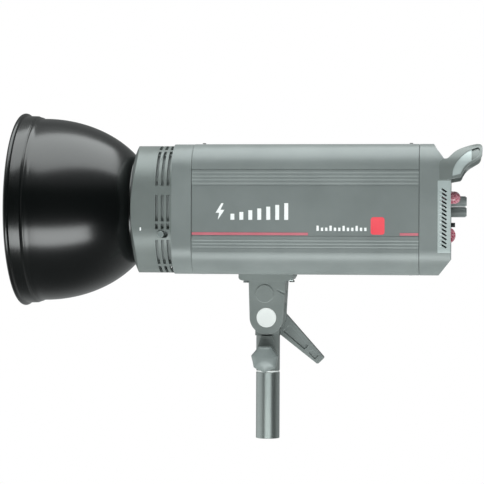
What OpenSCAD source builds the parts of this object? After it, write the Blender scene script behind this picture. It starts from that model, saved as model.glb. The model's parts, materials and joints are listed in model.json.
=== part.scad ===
// Studio flash head (monolight) with bowl reflector on a tilting stand bracket.
// Frame: +Z up, head axis along X, reflector towards -X, controls towards +X.
// The origin is the centre of the stand tube's lower end.

/* [Head body] */
// Width and height of the square body section
body_w = 140.4; // [134:0.2:168.6]
// Length of the body extrusion
body_len = 243; // [200:1:292]
// Corner radius of the body section
body_corner = 28; // [22:1:34]
// Wall of the body extrusion
body_wall = 4; // [3.5:0.5:5]
// How far the body's front edge lies ahead of the stand axis
body_front = 76.5; // [64:0.5:92]
// Depth of the panel recess in each side
recess_d = 1.6; // [1:0.1:2]

/* [Front end] */
// Length of the collar between the body and the vented ring
collar_len = 21.2; // [17:0.1:26]
// Length of the vented front ring
ring_len = 45.9; // [40:0.1:56]
// Width of the vented ring's section
ring_w = 138.6; // [132:0.1:140]
// Wall of the vented ring
ring_wall = 3.6; // [3:0.1:4.5]
// Radius of the opening that the bayonet socket sits in
socket_r = 56.5; // [54:0.5:58]
// Inner radius of the bayonet socket's lip
socket_lip_r = 50; // [48:0.5:51]

/* [Reflector] */
// Outer radius of the bowl where the front band starts
bowl_r = 100.8; // [92:0.1:121]
// Distance from the bowl's widest point back to its neck
bowl_depth = 104; // [90:1:125]
// Long half-axis of the bowl's elliptical section
bowl_axis = 127; // [126:1:150]
// Sheet thickness of the reflector
sheet = 1.3; // [1:0.1:1.6]
// Length of the straight band behind the rim
band_len = 18.5; // [14:0.5:24]
// Radius of the rolled rim bead's own section
bead_r = 2.6; // [2:0.1:3]
// How far the reflector turns to free its lugs, in degrees
lug_turn = 22; // [18:1:24]

/* [Rear end] */
// Length of the rear cap's full section
cap_len = 13.5; // [12:0.5:20]
// Overall depth of the rear cap
cap_depth = 33; // [32:0.5:40]
// Wall of the rear cap
cap_wall = 3.5; // [3:0.5:4]
// Thickness of the control panel
panel_t = 2.5; // [2:0.5:3]
// Width of each handle arm
arm_w = 12; // [10:0.5:14]
// Number of slots in each side vent strip
vent_count = 15; // [8:1:15]

/* [Tilt bracket] */
// Height of the tilt pivot above the receiver's shoulder
pivot_rise = 18.8; // [17:0.1:22]
// Height of the bracket plate's underside above the pivot
plate_rise = 39.9; // [36:0.1:48]
// Thickness of the bracket plate
plate_t = 7.5; // [7:0.1:9]
// Radius of the tilt axle
axle_r = 5; // [4:0.5:6]
// Thickness of each bracket cheek
cheek_t = 6.6; // [5:0.1:8]
// Length of the tilt lever from the pivot to its tip
lever_len = 75; // [62:1:90]
// Radius of the umbrella shaft bore
umbrella_r = 4.1; // [4:0.1:5]

/* [Stand] */
// Outer radius of the stand tube and the receiver
tube_r = 13; // [12:0.5:15.6]
// Wall of the stand tube
tube_wall = 1.6; // [1.2:0.1:2]
// Length of the stand tube
tube_len = 72.6; // [60:0.1:88]
// Length of the receiver below the pivot's shoulder
receiver_len = 39.3; // [36:0.1:48]
// Radius of the spigot that the receiver turns on
spigot_r = 7.95; // [7.5:0.05:8]
// Outer radius of the star knob
star_r = 15; // [12.5:0.5:18]
// Gap between the tube's end and the receiver
washer_gap = 2.2; // [2:0.1:3]

/* [Fits] */
// Radial clearance of a running fit
run = 0.05; // [0.02:0.01:0.1]
// Gap between faces of pieces that move past each other
gap = 0.4; // [0.3:0.05:0.5]

/* [Hidden] */
$fn = 64;
eps = 0.5;
recv_z = tube_len + washer_gap;
shoulder_z = recv_z + receiver_len;
pivot_z = shoulder_z + pivot_rise;
plate_z = pivot_z + plate_rise;
plate_top = plate_z + plate_t;
head_z = plate_top + body_w / 2;
shell_x0 = -body_front;
shell_x1 = shell_x0 + body_len;
collar_x0 = shell_x0 - collar_len;
ring_x0 = collar_x0 - ring_len;
neck_x = ring_x0 - gap;
bowl_x = neck_x - 2 - bowl_depth;
rim_x = bowl_x - band_len - 2.5;
cap_x0 = shell_x1;
cap_x1 = cap_x0 + cap_depth;
panel_x1 = cap_x1 - cap_wall;
panel_x0 = panel_x1 - panel_t;
lip_w = body_w - 2 * body_wall - 0.2;
lip_len = 14;
screw_in = 9.5;
ring_corner = 50;
collar_corner = body_corner + 4;
// Panel band limits on the sides, measured from the head axis
band_up = 41.3;
band_down = -47.2;
plate_up = 25;
plate_down = -29;
rib_pitch = 3.9;
rib_w = 2.3;
// Bayonet stations along X
lip_x1 = ring_x0 + 4.2;
groove_x1 = ring_x0 + 13.4;
socket_x1 = ring_x0 + 24.6;
socket_groove_r = socket_lip_r + 4.5;
lamp_x = socket_x1;
// Release button: place, radius and travel in its slot
release_x = collar_x0 - 11.6;
release_z = -27.5;
release_r = 3.4;
release_travel = 4;
hx = cap_x1;
tongue_w = 2 * (tube_r - 0.1);
cheek_in = tongue_w / 2 + 0.6 + gap;
cheek_out = cheek_in + cheek_t;
lever_y = cheek_out + gap;
star_z = recv_z + 14;
star_y = -(tube_r + 15);
umbrella_rise = 28;
umbrella_z = pivot_z + umbrella_rise;
disc_sink = 1.6;
umbrella_y = 3;
win_z0 = -45;
win_z1 = 28;
win_y = 58;
// Control places on the rear panel: [Y, Z from the head axis]
dial_power_at = [-22, 9.3];
dial_lamp_at = [-6, -1.9];
dome_at = [-45, 12.7];
test_at = [-36, -16.2];
rocker_at = [-48, -27.4];
inlet_at = [38, -30];
fuse_at = [13, -34];
sync_at = [-14, -34];
display_at = [30, 12];
key_y = [18, 30, 42];
key_z = -7;
dial_r = 5.6;
dial_end = cap_x1 + 16.8;
shaft_r = 3;
// Fan and tray inside the body
fan_x0 = shell_x1 - 44;
fan_len = 25;
fan_r = 43;
tray_z = -60;

// ---- shared shapes ----

// Extrudes a (Y, Z) section along X, with Z measured from the head axis
module along_x(x0, len) {
  translate([x0, 0, head_z])
    rotate([90, 0, 90])
      linear_extrude(len)
        children();
}

// Extrudes an (X, Z) outline along Y from y0, with Z measured from the head axis
module along_y(y0, len, z = head_z) {
  translate([0, y0 + len, z])
    rotate([90, 0, 0])
      linear_extrude(len)
        children();
}

// Turns an (r, X) profile about the head axis
module about_head() {
  translate([0, 0, head_z])
    rotate([0, 90, 0])
      rotate_extrude($fn = 96)
        children();
}

module rod_x(x0, x1, r, y = 0, z = 0) {
  translate([x0, y, head_z + z])
    rotate([0, 90, 0])
      cylinder(h = x1 - x0, r = r);
}

module rod_y(y0, y1, r, x = 0, z = pivot_z) {
  translate([x, y1, z])
    rotate([90, 0, 0])
      cylinder(h = y1 - y0, r = r);
}

module box_x(x0, x1, w, h, y = 0, z = 0) {
  translate([x0, y - w / 2, head_z + z - h / 2])
    cube([x1 - x0, w, h]);
}

// Square with round corners, made of true arcs
module round_square(w, r) {
  square([w, w - 2 * r], center = true);
  square([w - 2 * r, w], center = true);
  for (sx = [-1, 1], sy = [-1, 1])
    translate([sx * (w / 2 - r), sy * (w / 2 - r)])
      circle(r);
}

// Star of n turned squares, for knurled heads
module knurl(r, n = 5) {
  for (i = [0 : n - 1])
    rotate(i * 90 / n)
      square(r * sqrt(2), center = true);
}

// Quadratic curve from p to q, pulled towards c
function curve(p, c, q, n = 8) =
  [for (i = [0 : n]) let (t = i / n) (1 - t) * (1 - t) * p + 2 * t * (1 - t) * c + t * t * q];

// ---- stand and receiver ----

module stand_tube() {
  color("#8f9794")
    difference() {
      cylinder(h = tube_len, r = tube_r);
      translate([0, 0, -eps])
        cylinder(h = tube_len + 2 * eps, r = tube_r - tube_wall);
    }
}

module stand_spigot() {
  plug_h = 16;
  top_z = shoulder_z - 2;
  color("silver")
    difference() {
      union() {
        translate([0, 0, tube_len - plug_h])
          cylinder(h = plug_h, r = tube_r - tube_wall);
        cylinder_between(tube_len - 1, top_z, spigot_r);
      }
      translate([0, 0, star_z - 4])
        difference() {
          cylinder(h = 8, r = spigot_r + eps);
          translate([0, 0, -eps])
            cylinder(h = 8 + 2 * eps, r = spigot_r - 1.4);
        }
      translate([0, 0, tube_len - plug_h - eps])
        cylinder(h = plug_h, r = 3);
    }
}

module cylinder_between(z0, z1, r) {
  translate([0, 0, z0])
    cylinder(h = z1 - z0, r = r);
}

module pan_washer() {
  color("#e9eceb")
    difference() {
      cylinder_between(tube_len, recv_z - gap, tube_r - 0.4);
      cylinder_between(tube_len - eps, recv_z, spigot_r + run);
    }
}

module receiver() {
  color("#6f7674")
    difference() {
      union() {
        cylinder_between(recv_z, shoulder_z, tube_r);
        cylinder_between(shoulder_z - 1.2, shoulder_z, tube_r + 0.5);
        intersection() {
          union() {
            rod_y(-tongue_w / 2, tongue_w / 2, tube_r - 0.1);
            translate([-tube_r + 0.1, -tongue_w / 2, shoulder_z - 1])
              cube([2 * tube_r - 0.2, tongue_w, pivot_rise + 1]);
          }
          translate([-tube_r, -tube_r, shoulder_z - 1])
            cube([2 * tube_r, 2 * tube_r, pivot_rise + tube_r + 1]);
        }
        // rib and boss that carry the star screw
        along_y(-(tube_r + 4), tube_r, 0)
          polygon([[-6.2, shoulder_z - 1.6], [6.2, shoulder_z - 1.6], [9.8, star_z + 11],
            [9.8, star_z - 6], [-9.8, star_z - 6], [-9.8, star_z + 11]]);
        rod_y(-(tube_r + 8), 0, 7.4, 0, star_z);
      }
      cylinder_between(recv_z - eps, shoulder_z - 1, spigot_r + run);
      rod_y(-30, 30, axle_r + run);
      rod_y(-30, 0, shaft_r + run, 0, star_z);
    }
}

module friction_washers() {
  color("#3a3d3c")
    for (side = [-1, 1])
      difference() {
        rod_y(side * (tongue_w / 2 + 0.3) - 0.3, side * (tongue_w / 2 + 0.3) + 0.3, tube_r - 1);
        rod_y(-30, 30, axle_r + run);
      }
}

module star_knob() {
  scallop_r = 20;
  color("#9ba5a4")
    difference() {
      union() {
        rod_y(star_y + 1, -(tube_r + 8 + gap), 7.8, 0, star_z);
        along_y(star_y - 13, 14, star_z)
          difference() {
            circle(star_r);
            for (i = [0 : 6])
              rotate((i + 0.5) * 360 / 7 - 90)
                translate([star_r * cos(180 / 7) + scallop_r - 1.1, 0])
                  circle(scallop_r);
          }
        rod_y(star_y - 14.4, star_y - 12.5, star_r - 5, 0, star_z);
      }
      rod_y(star_y - 8, 0, shaft_r, 0, star_z);
    }
}

module star_screw() {
  color("silver")
    rod_y(star_y - 8, -(spigot_r + gap), shaft_r, 0, star_z);
}

// ---- tilt bracket ----

// Side outline of the yoke, with Z measured from the pivot
module yoke_outline() {
  polygon([[-18.4, 0], [18.4, 0], [20.6, plate_rise], [-19.6, plate_rise]]);
  circle(18.4);
}

module bracket_yoke() {
  color("#848c8a")
    difference() {
      union() {
        along_y(-cheek_out, 2 * cheek_out, pivot_z)
          yoke_outline();
        // low boss over the umbrella bore
        along_y(-cheek_out - 1.2, 1.2 + eps, pivot_z)
          translate([-2, umbrella_rise - 2])
            circle(9.6);
      }
      translate([-40, -cheek_in, 0])
        cube([80, 2 * cheek_in, pivot_z + tube_r + 2.5]);
      rod_y(-cheek_out - 1, -cheek_out + disc_sink, 11.1);
      rod_y(-40, 40, axle_r + run);
      translate([-40, umbrella_y, umbrella_z])
        rotate([0, 90, 0])
          cylinder(h = 80, r = umbrella_r);
      rod_y(umbrella_y, cheek_out + 1, shaft_r + run, 0, umbrella_z);
      for (sx = [-1, 1], sy = [-1, 1])
        translate([1 + sx * 12, sy * 14, plate_z - 9])
          cylinder(h = 10, r = 2.5);
      // diagonal relief on the near cheek
      translate([18, -cheek_out, pivot_z + umbrella_rise - 1])
        rotate([0, 28, 0])
          cube([14, 1.8, 2], center = true);
    }
}

module bracket_plate() {
  half_y = 27;
  color("#7c8482")
    difference() {
      along_y(-half_y, 2 * half_y, plate_z)
        polygon(concat([[-30, plate_t], [-30, 3.4]],
          curve([-29, 1.6], [-26, 0], [-21, 0], 4),
          [[23, 0], [27.2, 1.6], [29.4, 5], [29.4, plate_t]]));
      // pocket for the clamp screw
      translate([19.4, -24, plate_z - eps])
        cube([12, 12, plate_t + 2 * eps]);
      translate([17.4, -18, plate_z + plate_t / 2 - 0.2])
        rotate([0, 90, 0])
          cylinder(h = 4, r = 2 + run);
      for (sx = [-1, 1], sy = [-1, 1]) {
        translate([1 + sx * 12, sy * 14, plate_z - eps])
          cylinder(h = plate_t + 1, r = 2.6);
        translate([1 + sx * 12, sy * 14, plate_top - 3])
          cylinder(h = 4, r = 5);
        translate([1 + sx * 23, sy * 23.4, plate_z - eps])
          cylinder(h = plate_t + 1, r = 2.1);
      }
    }
}

// Four screws hold the yoke to the plate and two pairs hold the plate to the body
module bracket_screws() {
  color("silver")
    for (sx = [-1, 1], sy = [-1, 1]) {
      translate([1 + sx * 12, sy * 14, plate_z - 8])
        cylinder(h = 8 + plate_t - 3, r = 2.5);
      translate([1 + sx * 12, sy * 14, plate_top - 3])
        cylinder(h = 2.8, r = 4.6);
      if (sx < 0 || sy > 0) {
        translate([1 + sx * 23, sy * 23.4, plate_z])
          cylinder(h = plate_t + body_wall + 2, r = 2);
        translate([1 + sx * 23, sy * 23.4, plate_z - 2])
          cylinder(h = 2, r = 3);
      }
    }
}

module pivot_disc() {
  color("#eef2f1")
    difference() {
      rod_y(-cheek_out - 0.4, -cheek_out + disc_sink, 10.8);
      rod_y(-cheek_out - 1, -cheek_out - 0.1, 9.2);
    }
}

module tilt_axle() {
  color("silver")
    rod_y(-cheek_out + disc_sink, lever_y + 11, axle_r);
}

// Lever outline in its own frame: U runs along the arm, V across it
module lever_outline() {
  circle(13);
  polygon([[0, -9], [0, 14.6], [10, 14.4], [lever_len - 1, 10.6], [lever_len, 9.4],
    [lever_len, 1.4], [lever_len - 1.2, 0], [12, -7.6]]);
}

module tilt_lever() {
  color("#747b79")
    difference() {
      union() {
        along_y(lever_y, 12, pivot_z)
          rotate(-45)
            lever_outline();
        rod_y(lever_y, lever_y + 14, 11);
      }
      // long flute and grip cut into the arm's near face
      along_y(lever_y - eps, 2.5, pivot_z)
        rotate(-45)
          polygon([[22, -1.6], [22, 8.6], [lever_len - 22, 7.4], [lever_len - 22, 1.2]]);
      along_y(lever_y - eps, 2, pivot_z)
        rotate(-45)
          translate([lever_len - 16, 2])
            square([10, 5.6]);
      rod_y(0, lever_y + 20, axle_r + run);
    }
}

module lever_cap() {
  color("silver")
    difference() {
      rod_y(lever_y + 14, lever_y + 17, 8);
      along_y(lever_y + 15.5, 3, pivot_z)
        circle(4, $fn = 6);
    }
}

module umbrella_screw() {
  color("#5f6664")
    union() {
      rod_y(umbrella_y + umbrella_r + 0.2, cheek_out + 6, shaft_r, 0, umbrella_z);
      along_y(cheek_out + 1.2, 11, umbrella_z)
        knurl(6.6);
      rod_y(cheek_out + 12.2, cheek_out + 13, 5.2, 0, umbrella_z);
    }
}

module clamp_screw() {
  color("#858d8b")
    union() {
      translate([18, -18, plate_z + plate_t / 2 - 0.2])
        rotate([0, 90, 0])
          cylinder(h = 3, r = 2);
      translate([20, -18, plate_z + plate_t / 2 - 0.2])
        rotate([0, 90, 0])
          linear_extrude(9)
            knurl(3.5);
    }
}

// ---- body ----

// Material taken from one side: the panel recess with its two bands of ribs left standing
module side_recess() {
  difference() {
    translate([-body_w / 2 - 1, band_down])
      square([recess_d + 1, band_up - band_down]);
    for (i = [0 : 3], z0 = [plate_up + 1, band_down + 1.6])
      translate([-body_w / 2, z0 + i * rib_pitch])
        square([recess_d + 1, rib_w]);
  }
}

module shell_screw_places() {
  for (x = [shell_x0 + screw_in, shell_x1 - screw_in], y = [-34, 34], s = [0, 180])
    translate([x, 0, head_z])
      rotate([s, 0, 0])
        translate([0, y, body_w / 2])
          children();
}

module body_shell() {
  color("#7f8785")
    difference() {
      along_x(shell_x0, body_len)
        difference() {
          round_square(body_w, body_corner);
          round_square(body_w - 2 * body_wall, body_corner - body_wall);
          side_recess();
          mirror([1, 0])
            side_recess();
        }
      shell_screw_places()
        translate([0, 0, -8])
          cylinder(h = 10, r = 2);
      for (sx = [-1, 1], sy = [-1, 1])
        if (sx < 0 || sy > 0)
          translate([1 + sx * 23, sy * 23.4, plate_top - 1])
            cylinder(h = body_wall + 2, r = 2.1);
    }
}

module side_plates() {
  color("#7b8281")
    for (side = [-1, 1])
      translate([shell_x0 + 0.6, side * (body_w / 2 - recess_d + 0.4) - 0.4, head_z + plate_down])
        cube([body_len - 1.2, 0.8, plate_up - plate_down]);
}

module red_stripes() {
  color("#c05a60")
    for (side = [-1, 1], run_x = [[shell_x0 + 0.8, 49], [shell_x1 - 20.5, shell_x1 - 0.8]])
      translate([run_x[0], side * (body_w / 2 - recess_d + 0.95) - 0.15, head_z + plate_down + 1])
        cube([run_x[1] - run_x[0], 0.3, 2.8]);
}

module shell_screws() {
  color("#a4acab")
    shell_screw_places()
      union() {
        translate([0, 0, -7.5])
          cylinder(h = 7.6, r = 1.9);
        difference() {
          cylinder(h = 1.7, r = 3.2);
          translate([0, 0, 0.9])
            linear_extrude(2)
              square([4, 0.9], center = true);
          translate([0, 0, 0.9])
            linear_extrude(2)
              square([0.9, 4], center = true);
        }
      }
}

module lip_ring() {
  difference() {
    round_square(lip_w, body_corner - body_wall);
    round_square(lip_w - 6, body_corner - body_wall - 3);
  }
}

module front_collar() {
  color("#7f8785")
    difference() {
      union() {
        along_x(collar_x0, collar_len)
          difference() {
            round_square(body_w, collar_corner);
            round_square(lip_w - 6, body_corner - body_wall - 3);
          }
        along_x(shell_x0 - eps, lip_len + eps)
          lip_ring();
      }
      shell_screw_places()
        translate([0, 0, -8])
          cylinder(h = 10, r = 1.9);
    }
}

// Solid of revolution that domes the ring's front face
module ring_nose(x0, r0) {
  dome = [[3.5, 0], [7.5, 0.6], [10.8, 1.6], [13.5, 2.8], [16.5, 4.6], [18.9, 6.6], [21, 10]];
  about_head()
    polygon(concat([[0, x0]],
      [for (step = dome) [r0 + step[0], x0 + step[1]]],
      [[r0 + 29, x0 + 12], [r0 + 29, 0], [0, 0]]));
}

module vent_slots() {
  slot_w = 3.1;
  slot_pitch = 6.1;
  // [angle, width] of the bridges that break the slots on each side
  bridges = [[16, 9.5], [55.3, 4], [82, 12], [-12.2, 2.2], [-22.3, 11], [-52, 4], [-82, 12]];
  for (i = [0 : 2])
    along_x(collar_x0 - 17.6 + i * slot_pitch, slot_w)
      difference() {
        round_square(ring_w + 2, ring_corner + 1);
        round_square(ring_w - 2 * ring_wall - 1, ring_corner - ring_wall - 0.5);
        for (bridge = bridges, m = [0, 1])
          mirror([m, 0])
            rotate(bridge[0])
              translate([40, -bridge[1] / 2])
                square([60, bridge[1]]);
      }
}

module front_ring() {
  color("#828a88")
    difference() {
      intersection() {
        along_x(ring_x0, ring_len)
          round_square(ring_w, ring_corner);
        ring_nose(ring_x0, socket_r + 2);
      }
      intersection() {
        along_x(ring_x0 + 4, ring_len)
          round_square(ring_w - 2 * ring_wall, ring_corner - ring_wall);
        ring_nose(ring_x0 + 4, socket_r - 2);
      }
      rod_x(ring_x0 - 1, ring_x0 + 30, socket_r);
      vent_slots();
      // slot that the release button slides in
      along_y(-ring_w / 2 - 1, ring_wall + 3.6)
        translate([release_x, release_z])
          union() {
            circle(release_r + gap);
            translate([0, -release_r - gap])
              square([release_travel, 2 * (release_r + gap)]);
            translate([release_travel, 0])
              circle(release_r + gap);
          }
    }
}

module release_button() {
  y0 = -ring_w / 2;
  plate_y = y0 + ring_wall + 3.2;
  color("#98a1a0")
    union() {
      rod_y(y0 - 2.2, plate_y, release_r, release_x, head_z + release_z);
      translate([release_x - 10, plate_y, head_z + release_z - 5])
        cube([16, 2, 10]);
      translate([release_x - 14, plate_y, head_z + release_z - 2])
        cube([6, 4, 4]);
    }
}

module front_bulkhead() {
  color("silver")
    difference() {
      union() {
        along_x(collar_x0 + 2, 3)
          round_square(lip_w - 6, body_corner - body_wall - 3);
        for (i = [0 : 2])
          rotate_head(i * 120 + 30)
            rod_x(lamp_x + 10, collar_x0 + 2.5, 4, 0, 38);
      }
      rod_x(collar_x0, collar_x0 + 8, 26);
      for (i = [0 : 7])
        rotate_head(i * 45)
          rod_x(collar_x0, collar_x0 + 8, 6, 0, 50);
    }
}

module rotate_head(a) {
  translate([0, 0, head_z])
    rotate([a, 0, 0])
      translate([0, 0, -head_z])
        children();
}

module mount_socket() {
  color("#b9c0bf")
    difference() {
      about_head()
        polygon([[socket_lip_r, ring_x0 + 0.2], [socket_r, ring_x0 + 0.2], [socket_r, socket_x1],
          [42, socket_x1], [42, socket_x1 - 2], [socket_groove_r, socket_x1 - 2],
          [socket_groove_r, groove_x1], [socket_groove_r, lip_x1], [socket_lip_r, lip_x1]]);
      for (i = [0 : 2])
        rotate_head(i * 120 + lug_turn)
          box_x(ring_x0 - 1, lip_x1 + 0.2, 22, 12, 0, socket_groove_r - 6);
    }
}

module glare_plate() {
  color("#dfe4e3")
    difference() {
      rod_x(lamp_x - 4.6, lamp_x - 3.6, 43);
      rod_x(lamp_x - 6, lamp_x, 18.5);
      for (s = [-1, 1])
        rod_x(lamp_x - 6, lamp_x, 5, s * 33, 0);
    }
}

module lamp_base() {
  color("#e6e2d8")
    difference() {
      union() {
        rod_x(lamp_x, lamp_x + 10, 46);
        for (s = [-1, 1])
          rod_x(lamp_x - 14, lamp_x + 1, 4.9, s * 33, 0);
      }
      for (s = [-1, 1])
        rod_x(lamp_x - 15, lamp_x - 2, 3.6, s * 33, 0);
      rod_x(lamp_x - 1, lamp_x + 11, 14);
    }
}

module flash_tube() {
  ring_at = lamp_x - 34;
  color("#eef6fa", 0.7)
    union() {
      translate([ring_at, 0, head_z])
        rotate([0, 90, 0])
          rotate_extrude($fn = 64)
            translate([33, 0])
              circle(4.4, $fn = 24);
      for (s = [-1, 1])
        rod_x(ring_at, lamp_x - 2, 3.5, s * 33, 0);
    }
}

module lamp_socket() {
  color("#ece8de")
    difference() {
      rod_x(lamp_x - 22, lamp_x, 17);
      rod_x(lamp_x - 23, lamp_x - 4, 12);
    }
}

module modelling_lamp() {
  color("#f3f6f4", 0.8)
    union() {
      rod_x(lamp_x - 26, lamp_x - 4, 11.8);
      about_head()
        polygon(concat([[0, lamp_x - 26], [11.8, lamp_x - 26], [13, lamp_x - 32]],
          [for (t = [0 : 10 : 90]) [15 * cos(t), lamp_x - 52 - 15 * sin(t)]]));
    }
}

// ---- reflector ----

function bowl_at(x, b, a) = b * sqrt(1 - pow((x - bowl_x) / a, 2));

module reflector_bowl() {
  steps = 22;
  back_x = bowl_x + bowl_depth;
  front_x = rim_x;
  color("#101414")
    about_head()
      polygon(concat(
        [[bowl_r + 3.4, front_x], [bowl_r + 2.8, bowl_x - 6.4], [bowl_r + 1.2, bowl_x - 5.2],
          [bowl_r + 1.5, bowl_x - 3.4]],
        [for (i = [0 : steps]) let (x = bowl_x + bowl_depth * i / steps)
          [bowl_at(x, bowl_r, bowl_axis), x]],
        [[bowl_at(back_x, bowl_r, bowl_axis), neck_x], [socket_lip_r - 4.6, neck_x],
          [socket_lip_r - 4.6, neck_x - 1.6]],
        [for (i = [steps : -1 : 0]) let (x = bowl_x + (bowl_depth + 0.4) * i / steps)
          [bowl_at(x, bowl_r - sheet, bowl_axis - sheet), x]],
        [[bowl_r + 1.5 - sheet, bowl_x - 3.4], [bowl_r + 1.2 - sheet, bowl_x - 5.2],
          [bowl_r + 2.8 - sheet, bowl_x - 6.4], [bowl_r + 3.4 - sheet, front_x]]));
}

module reflector_rim() {
  color("#16191a")
    about_head()
      difference() {
        translate([bowl_r + 3.4, rim_x])
          circle(bead_r, $fn = 32);
        translate([bowl_r + 2.9 - sheet, rim_x])
          square([sheet + 0.6, 10]);
      }
}

module reflector_bayonet() {
  color("#c3c9c8")
    union() {
      about_head()
        polygon([[socket_lip_r - 4.6, neck_x], [socket_lip_r - gap, neck_x],
          [socket_lip_r - gap, groove_x1 - 1], [socket_lip_r - 4.6, groove_x1 - 1]]);
      for (i = [0 : 2])
        rotate_head(i * 120)
          intersection() {
            difference() {
              rod_x(lip_x1 + gap, groove_x1 - 1, socket_groove_r - 2 * gap);
              rod_x(ring_x0, groove_x1, socket_lip_r - gap - 0.5);
            }
            box_x(ring_x0, groove_x1, 19, 20, 0, socket_lip_r);
          }
    }
}

// ---- rear end ----

// Side outline of the cap: X from the cap's front edge, Z from the head axis
module cap_outline(d = 0) {
  polygon([[0, -80], [cap_len + 6.6 - d * 0.4, -80], [cap_len + 6.6 - d * 0.4, -body_w / 2],
    [cap_depth - d, -body_w / 2 + 16.4 + d * 0.4], [cap_depth - d, 34], [cap_depth - 2.4 - d, 44],
    [cap_depth - 7.6 - d, 54], [cap_depth - 11.8 - d, 60], [cap_depth - 15.2 - d, 64.6],
    [cap_depth - 16.8 - d, 67.6], [cap_depth - 18.2 - d, body_w / 2 - d], [cap_depth - 22 - d, 80],
    [0, 80]]);
}

module strip_place() {
  translate([cap_x1 - 13.8, -body_w / 2 - 1, head_z - 46])
    cube([14, 2.2, 76.2]);
}

// Side outline of the handle, drawn from the cap's rear face and the head axis
module handle_outline() {
  polygon(concat([[hx - 12.5, 31.6], [hx - 12.5, 50]],
    [[hx - 8.6, 53.8]],
    curve([hx - 6.2, 53.6], [hx - 3.8, 53.4], [hx - 1.4, 56], 4),
    curve([hx + 2.4, 59.8], [hx + 8.4, 65.6], [hx + 27, 69.9]),
    curve([hx + 30.4, 69.7], [hx + 33, 69], [hx + 33.1, 64], 4),
    curve([hx + 32.6, 57], [hx + 31.6, 53.8], [hx + 27.8, 52], 4),
    curve([hx + 23, 49.2], [hx + 14.8, 44.8], [hx + 11.4, 35.4]),
    [[hx + 9.8, 33.8], [hx + 1, 32.2], [hx - 5, 30.9], [hx - 10, 30.8]]));
}

// Slice of the body's section, from its outside to the given depth under it
module side_skin(x0, len, from, to) {
  along_x(x0, len)
    difference() {
      round_square(body_w - 2 * from, body_corner - from);
      round_square(body_w - 2 * to, body_corner - to);
    }
}

// The handle is a hoop that carries the body's section on behind the cap
module handle_hoop() {
  intersection() {
    side_skin(hx - 14, 50, 0, arm_w);
    along_y(-80, 160)
      handle_outline();
  }
}

// Side outline of the sunk panel in each arm
module inlay_outline() {
  polygon(concat([[hx + 1.2, 35]],
    curve([hx + 1.9, 40.4], [hx + 5, 52.6], [hx + 17.5, 61.4]),
    curve([hx + 21.8, 63.4], [hx + 26, 65.2], [hx + 28.6, 65.8], 3),
    [[hx + 30.6, 63], [hx + 30.2, 57.6], [hx + 26.4, 54]],
    curve([hx + 21.6, 51.2], [hx + 13, 46.6], [hx + 10, 37.2])));
}

module rear_cap() {
  color("#7d8583")
    difference() {
      union() {
        intersection() {
          along_x(cap_x0, cap_depth)
            round_square(body_w, body_corner);
          along_y(-80, 160)
            translate([cap_x0, 0])
              cap_outline();
        }
        along_x(cap_x0 - lip_len, lip_len + eps)
          lip_ring();
      }
      intersection() {
        along_x(cap_x0 - eps, cap_depth - cap_wall + eps)
          round_square(body_w - 2 * body_wall - 2, body_corner - body_wall - 1);
        along_y(-80, 160)
          translate([cap_x0 - 1, 0])
            cap_outline(cap_wall - 1);
      }
      // window in front of the control panel
      translate([panel_x1 - 1, -win_y, head_z + win_z0])
        cube([cap_wall + 2, 2 * win_y, win_z1 - win_z0]);
      for (m = [0, 1])
        mirror([0, m, 0]) {
          strip_place();
          translate([cap_x1 - 10.6, -body_w / 2 - 1, head_z - 42.5])
            cube([7, 12, 66]);
        }
      handle_hoop();
      shell_screw_places()
        translate([0, 0, -8])
          cylinder(h = 10, r = 1.9);
    }
}

module control_holes() {
  rod_x(panel_x0 - 1, panel_x1 + 1, shaft_r + run, dial_power_at[0], dial_power_at[1]);
  rod_x(panel_x0 - 1, panel_x1 + 1, shaft_r + run, dial_lamp_at[0], dial_lamp_at[1]);
  rod_x(panel_x0 - 1, panel_x1 + 1, 5, dome_at[0], dome_at[1]);
  rod_x(panel_x0 - 1, panel_x1 + 1, 2.4 + run, test_at[0], test_at[1]);
  box_x(panel_x0 - 1, panel_x1 + 1, 13, 19, rocker_at[0], rocker_at[1]);
  box_x(panel_x0 - 1, panel_x1 + 1, 27, 20, inlet_at[0], inlet_at[1]);
  rod_x(panel_x0 - 1, panel_x1 + 1, 6, fuse_at[0], fuse_at[1]);
  rod_x(panel_x0 - 1, panel_x1 + 1, 5, sync_at[0], sync_at[1]);
  box_x(panel_x0 - 1, panel_x1 + 1, 34, 15, display_at[0], display_at[1]);
  for (y = key_y)
    rod_x(panel_x0 - 1, panel_x1 + 1, 2.8 + run, y, key_z);
}

module rear_panel() {
  color("#565d5b")
    difference() {
      box_x(panel_x0, panel_x1, 2 * win_y + 4, win_z1 - win_z0 + 4, 0, (win_z0 + win_z1) / 2);
      control_holes();
    }
}

module vent_strip() {
  pitch = 63 / vent_count;
  color("#c3cbca")
    difference() {
      intersection() {
        strip_place();
        along_x(cap_x0, cap_depth)
          round_square(body_w, body_corner);
        translate([cap_x1 - 13.8, -body_w / 2, 0])
          cube([14, 1.2, 999]);
      }
      for (i = [0 : vent_count - 1])
        translate([cap_x1 - 7, -body_w / 2, head_z - 39 + i * pitch])
          rotate([0, 32, 0])
            cube([6, 4, 1.8], center = true);
    }
}

module vent_strip_left() {
  vent_strip();
}

module vent_strip_right() {
  mirror([0, 1, 0])
    vent_strip();
}

module handle() {
  color("#737a78")
    difference() {
      handle_hoop();
      intersection() {
        side_skin(hx, 34, -1, 1.4);
        along_y(-80, 160)
          inlay_outline();
      }
    }
}

// Bright plates that fill the lower part of each sunk panel
module handle_inlays() {
  color("#d5dcdb")
    intersection() {
      side_skin(hx, 21.6, 0.5, 1.4);
      along_y(-80, 160)
        inlay_outline();
    }
}

// ---- controls ----

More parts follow.
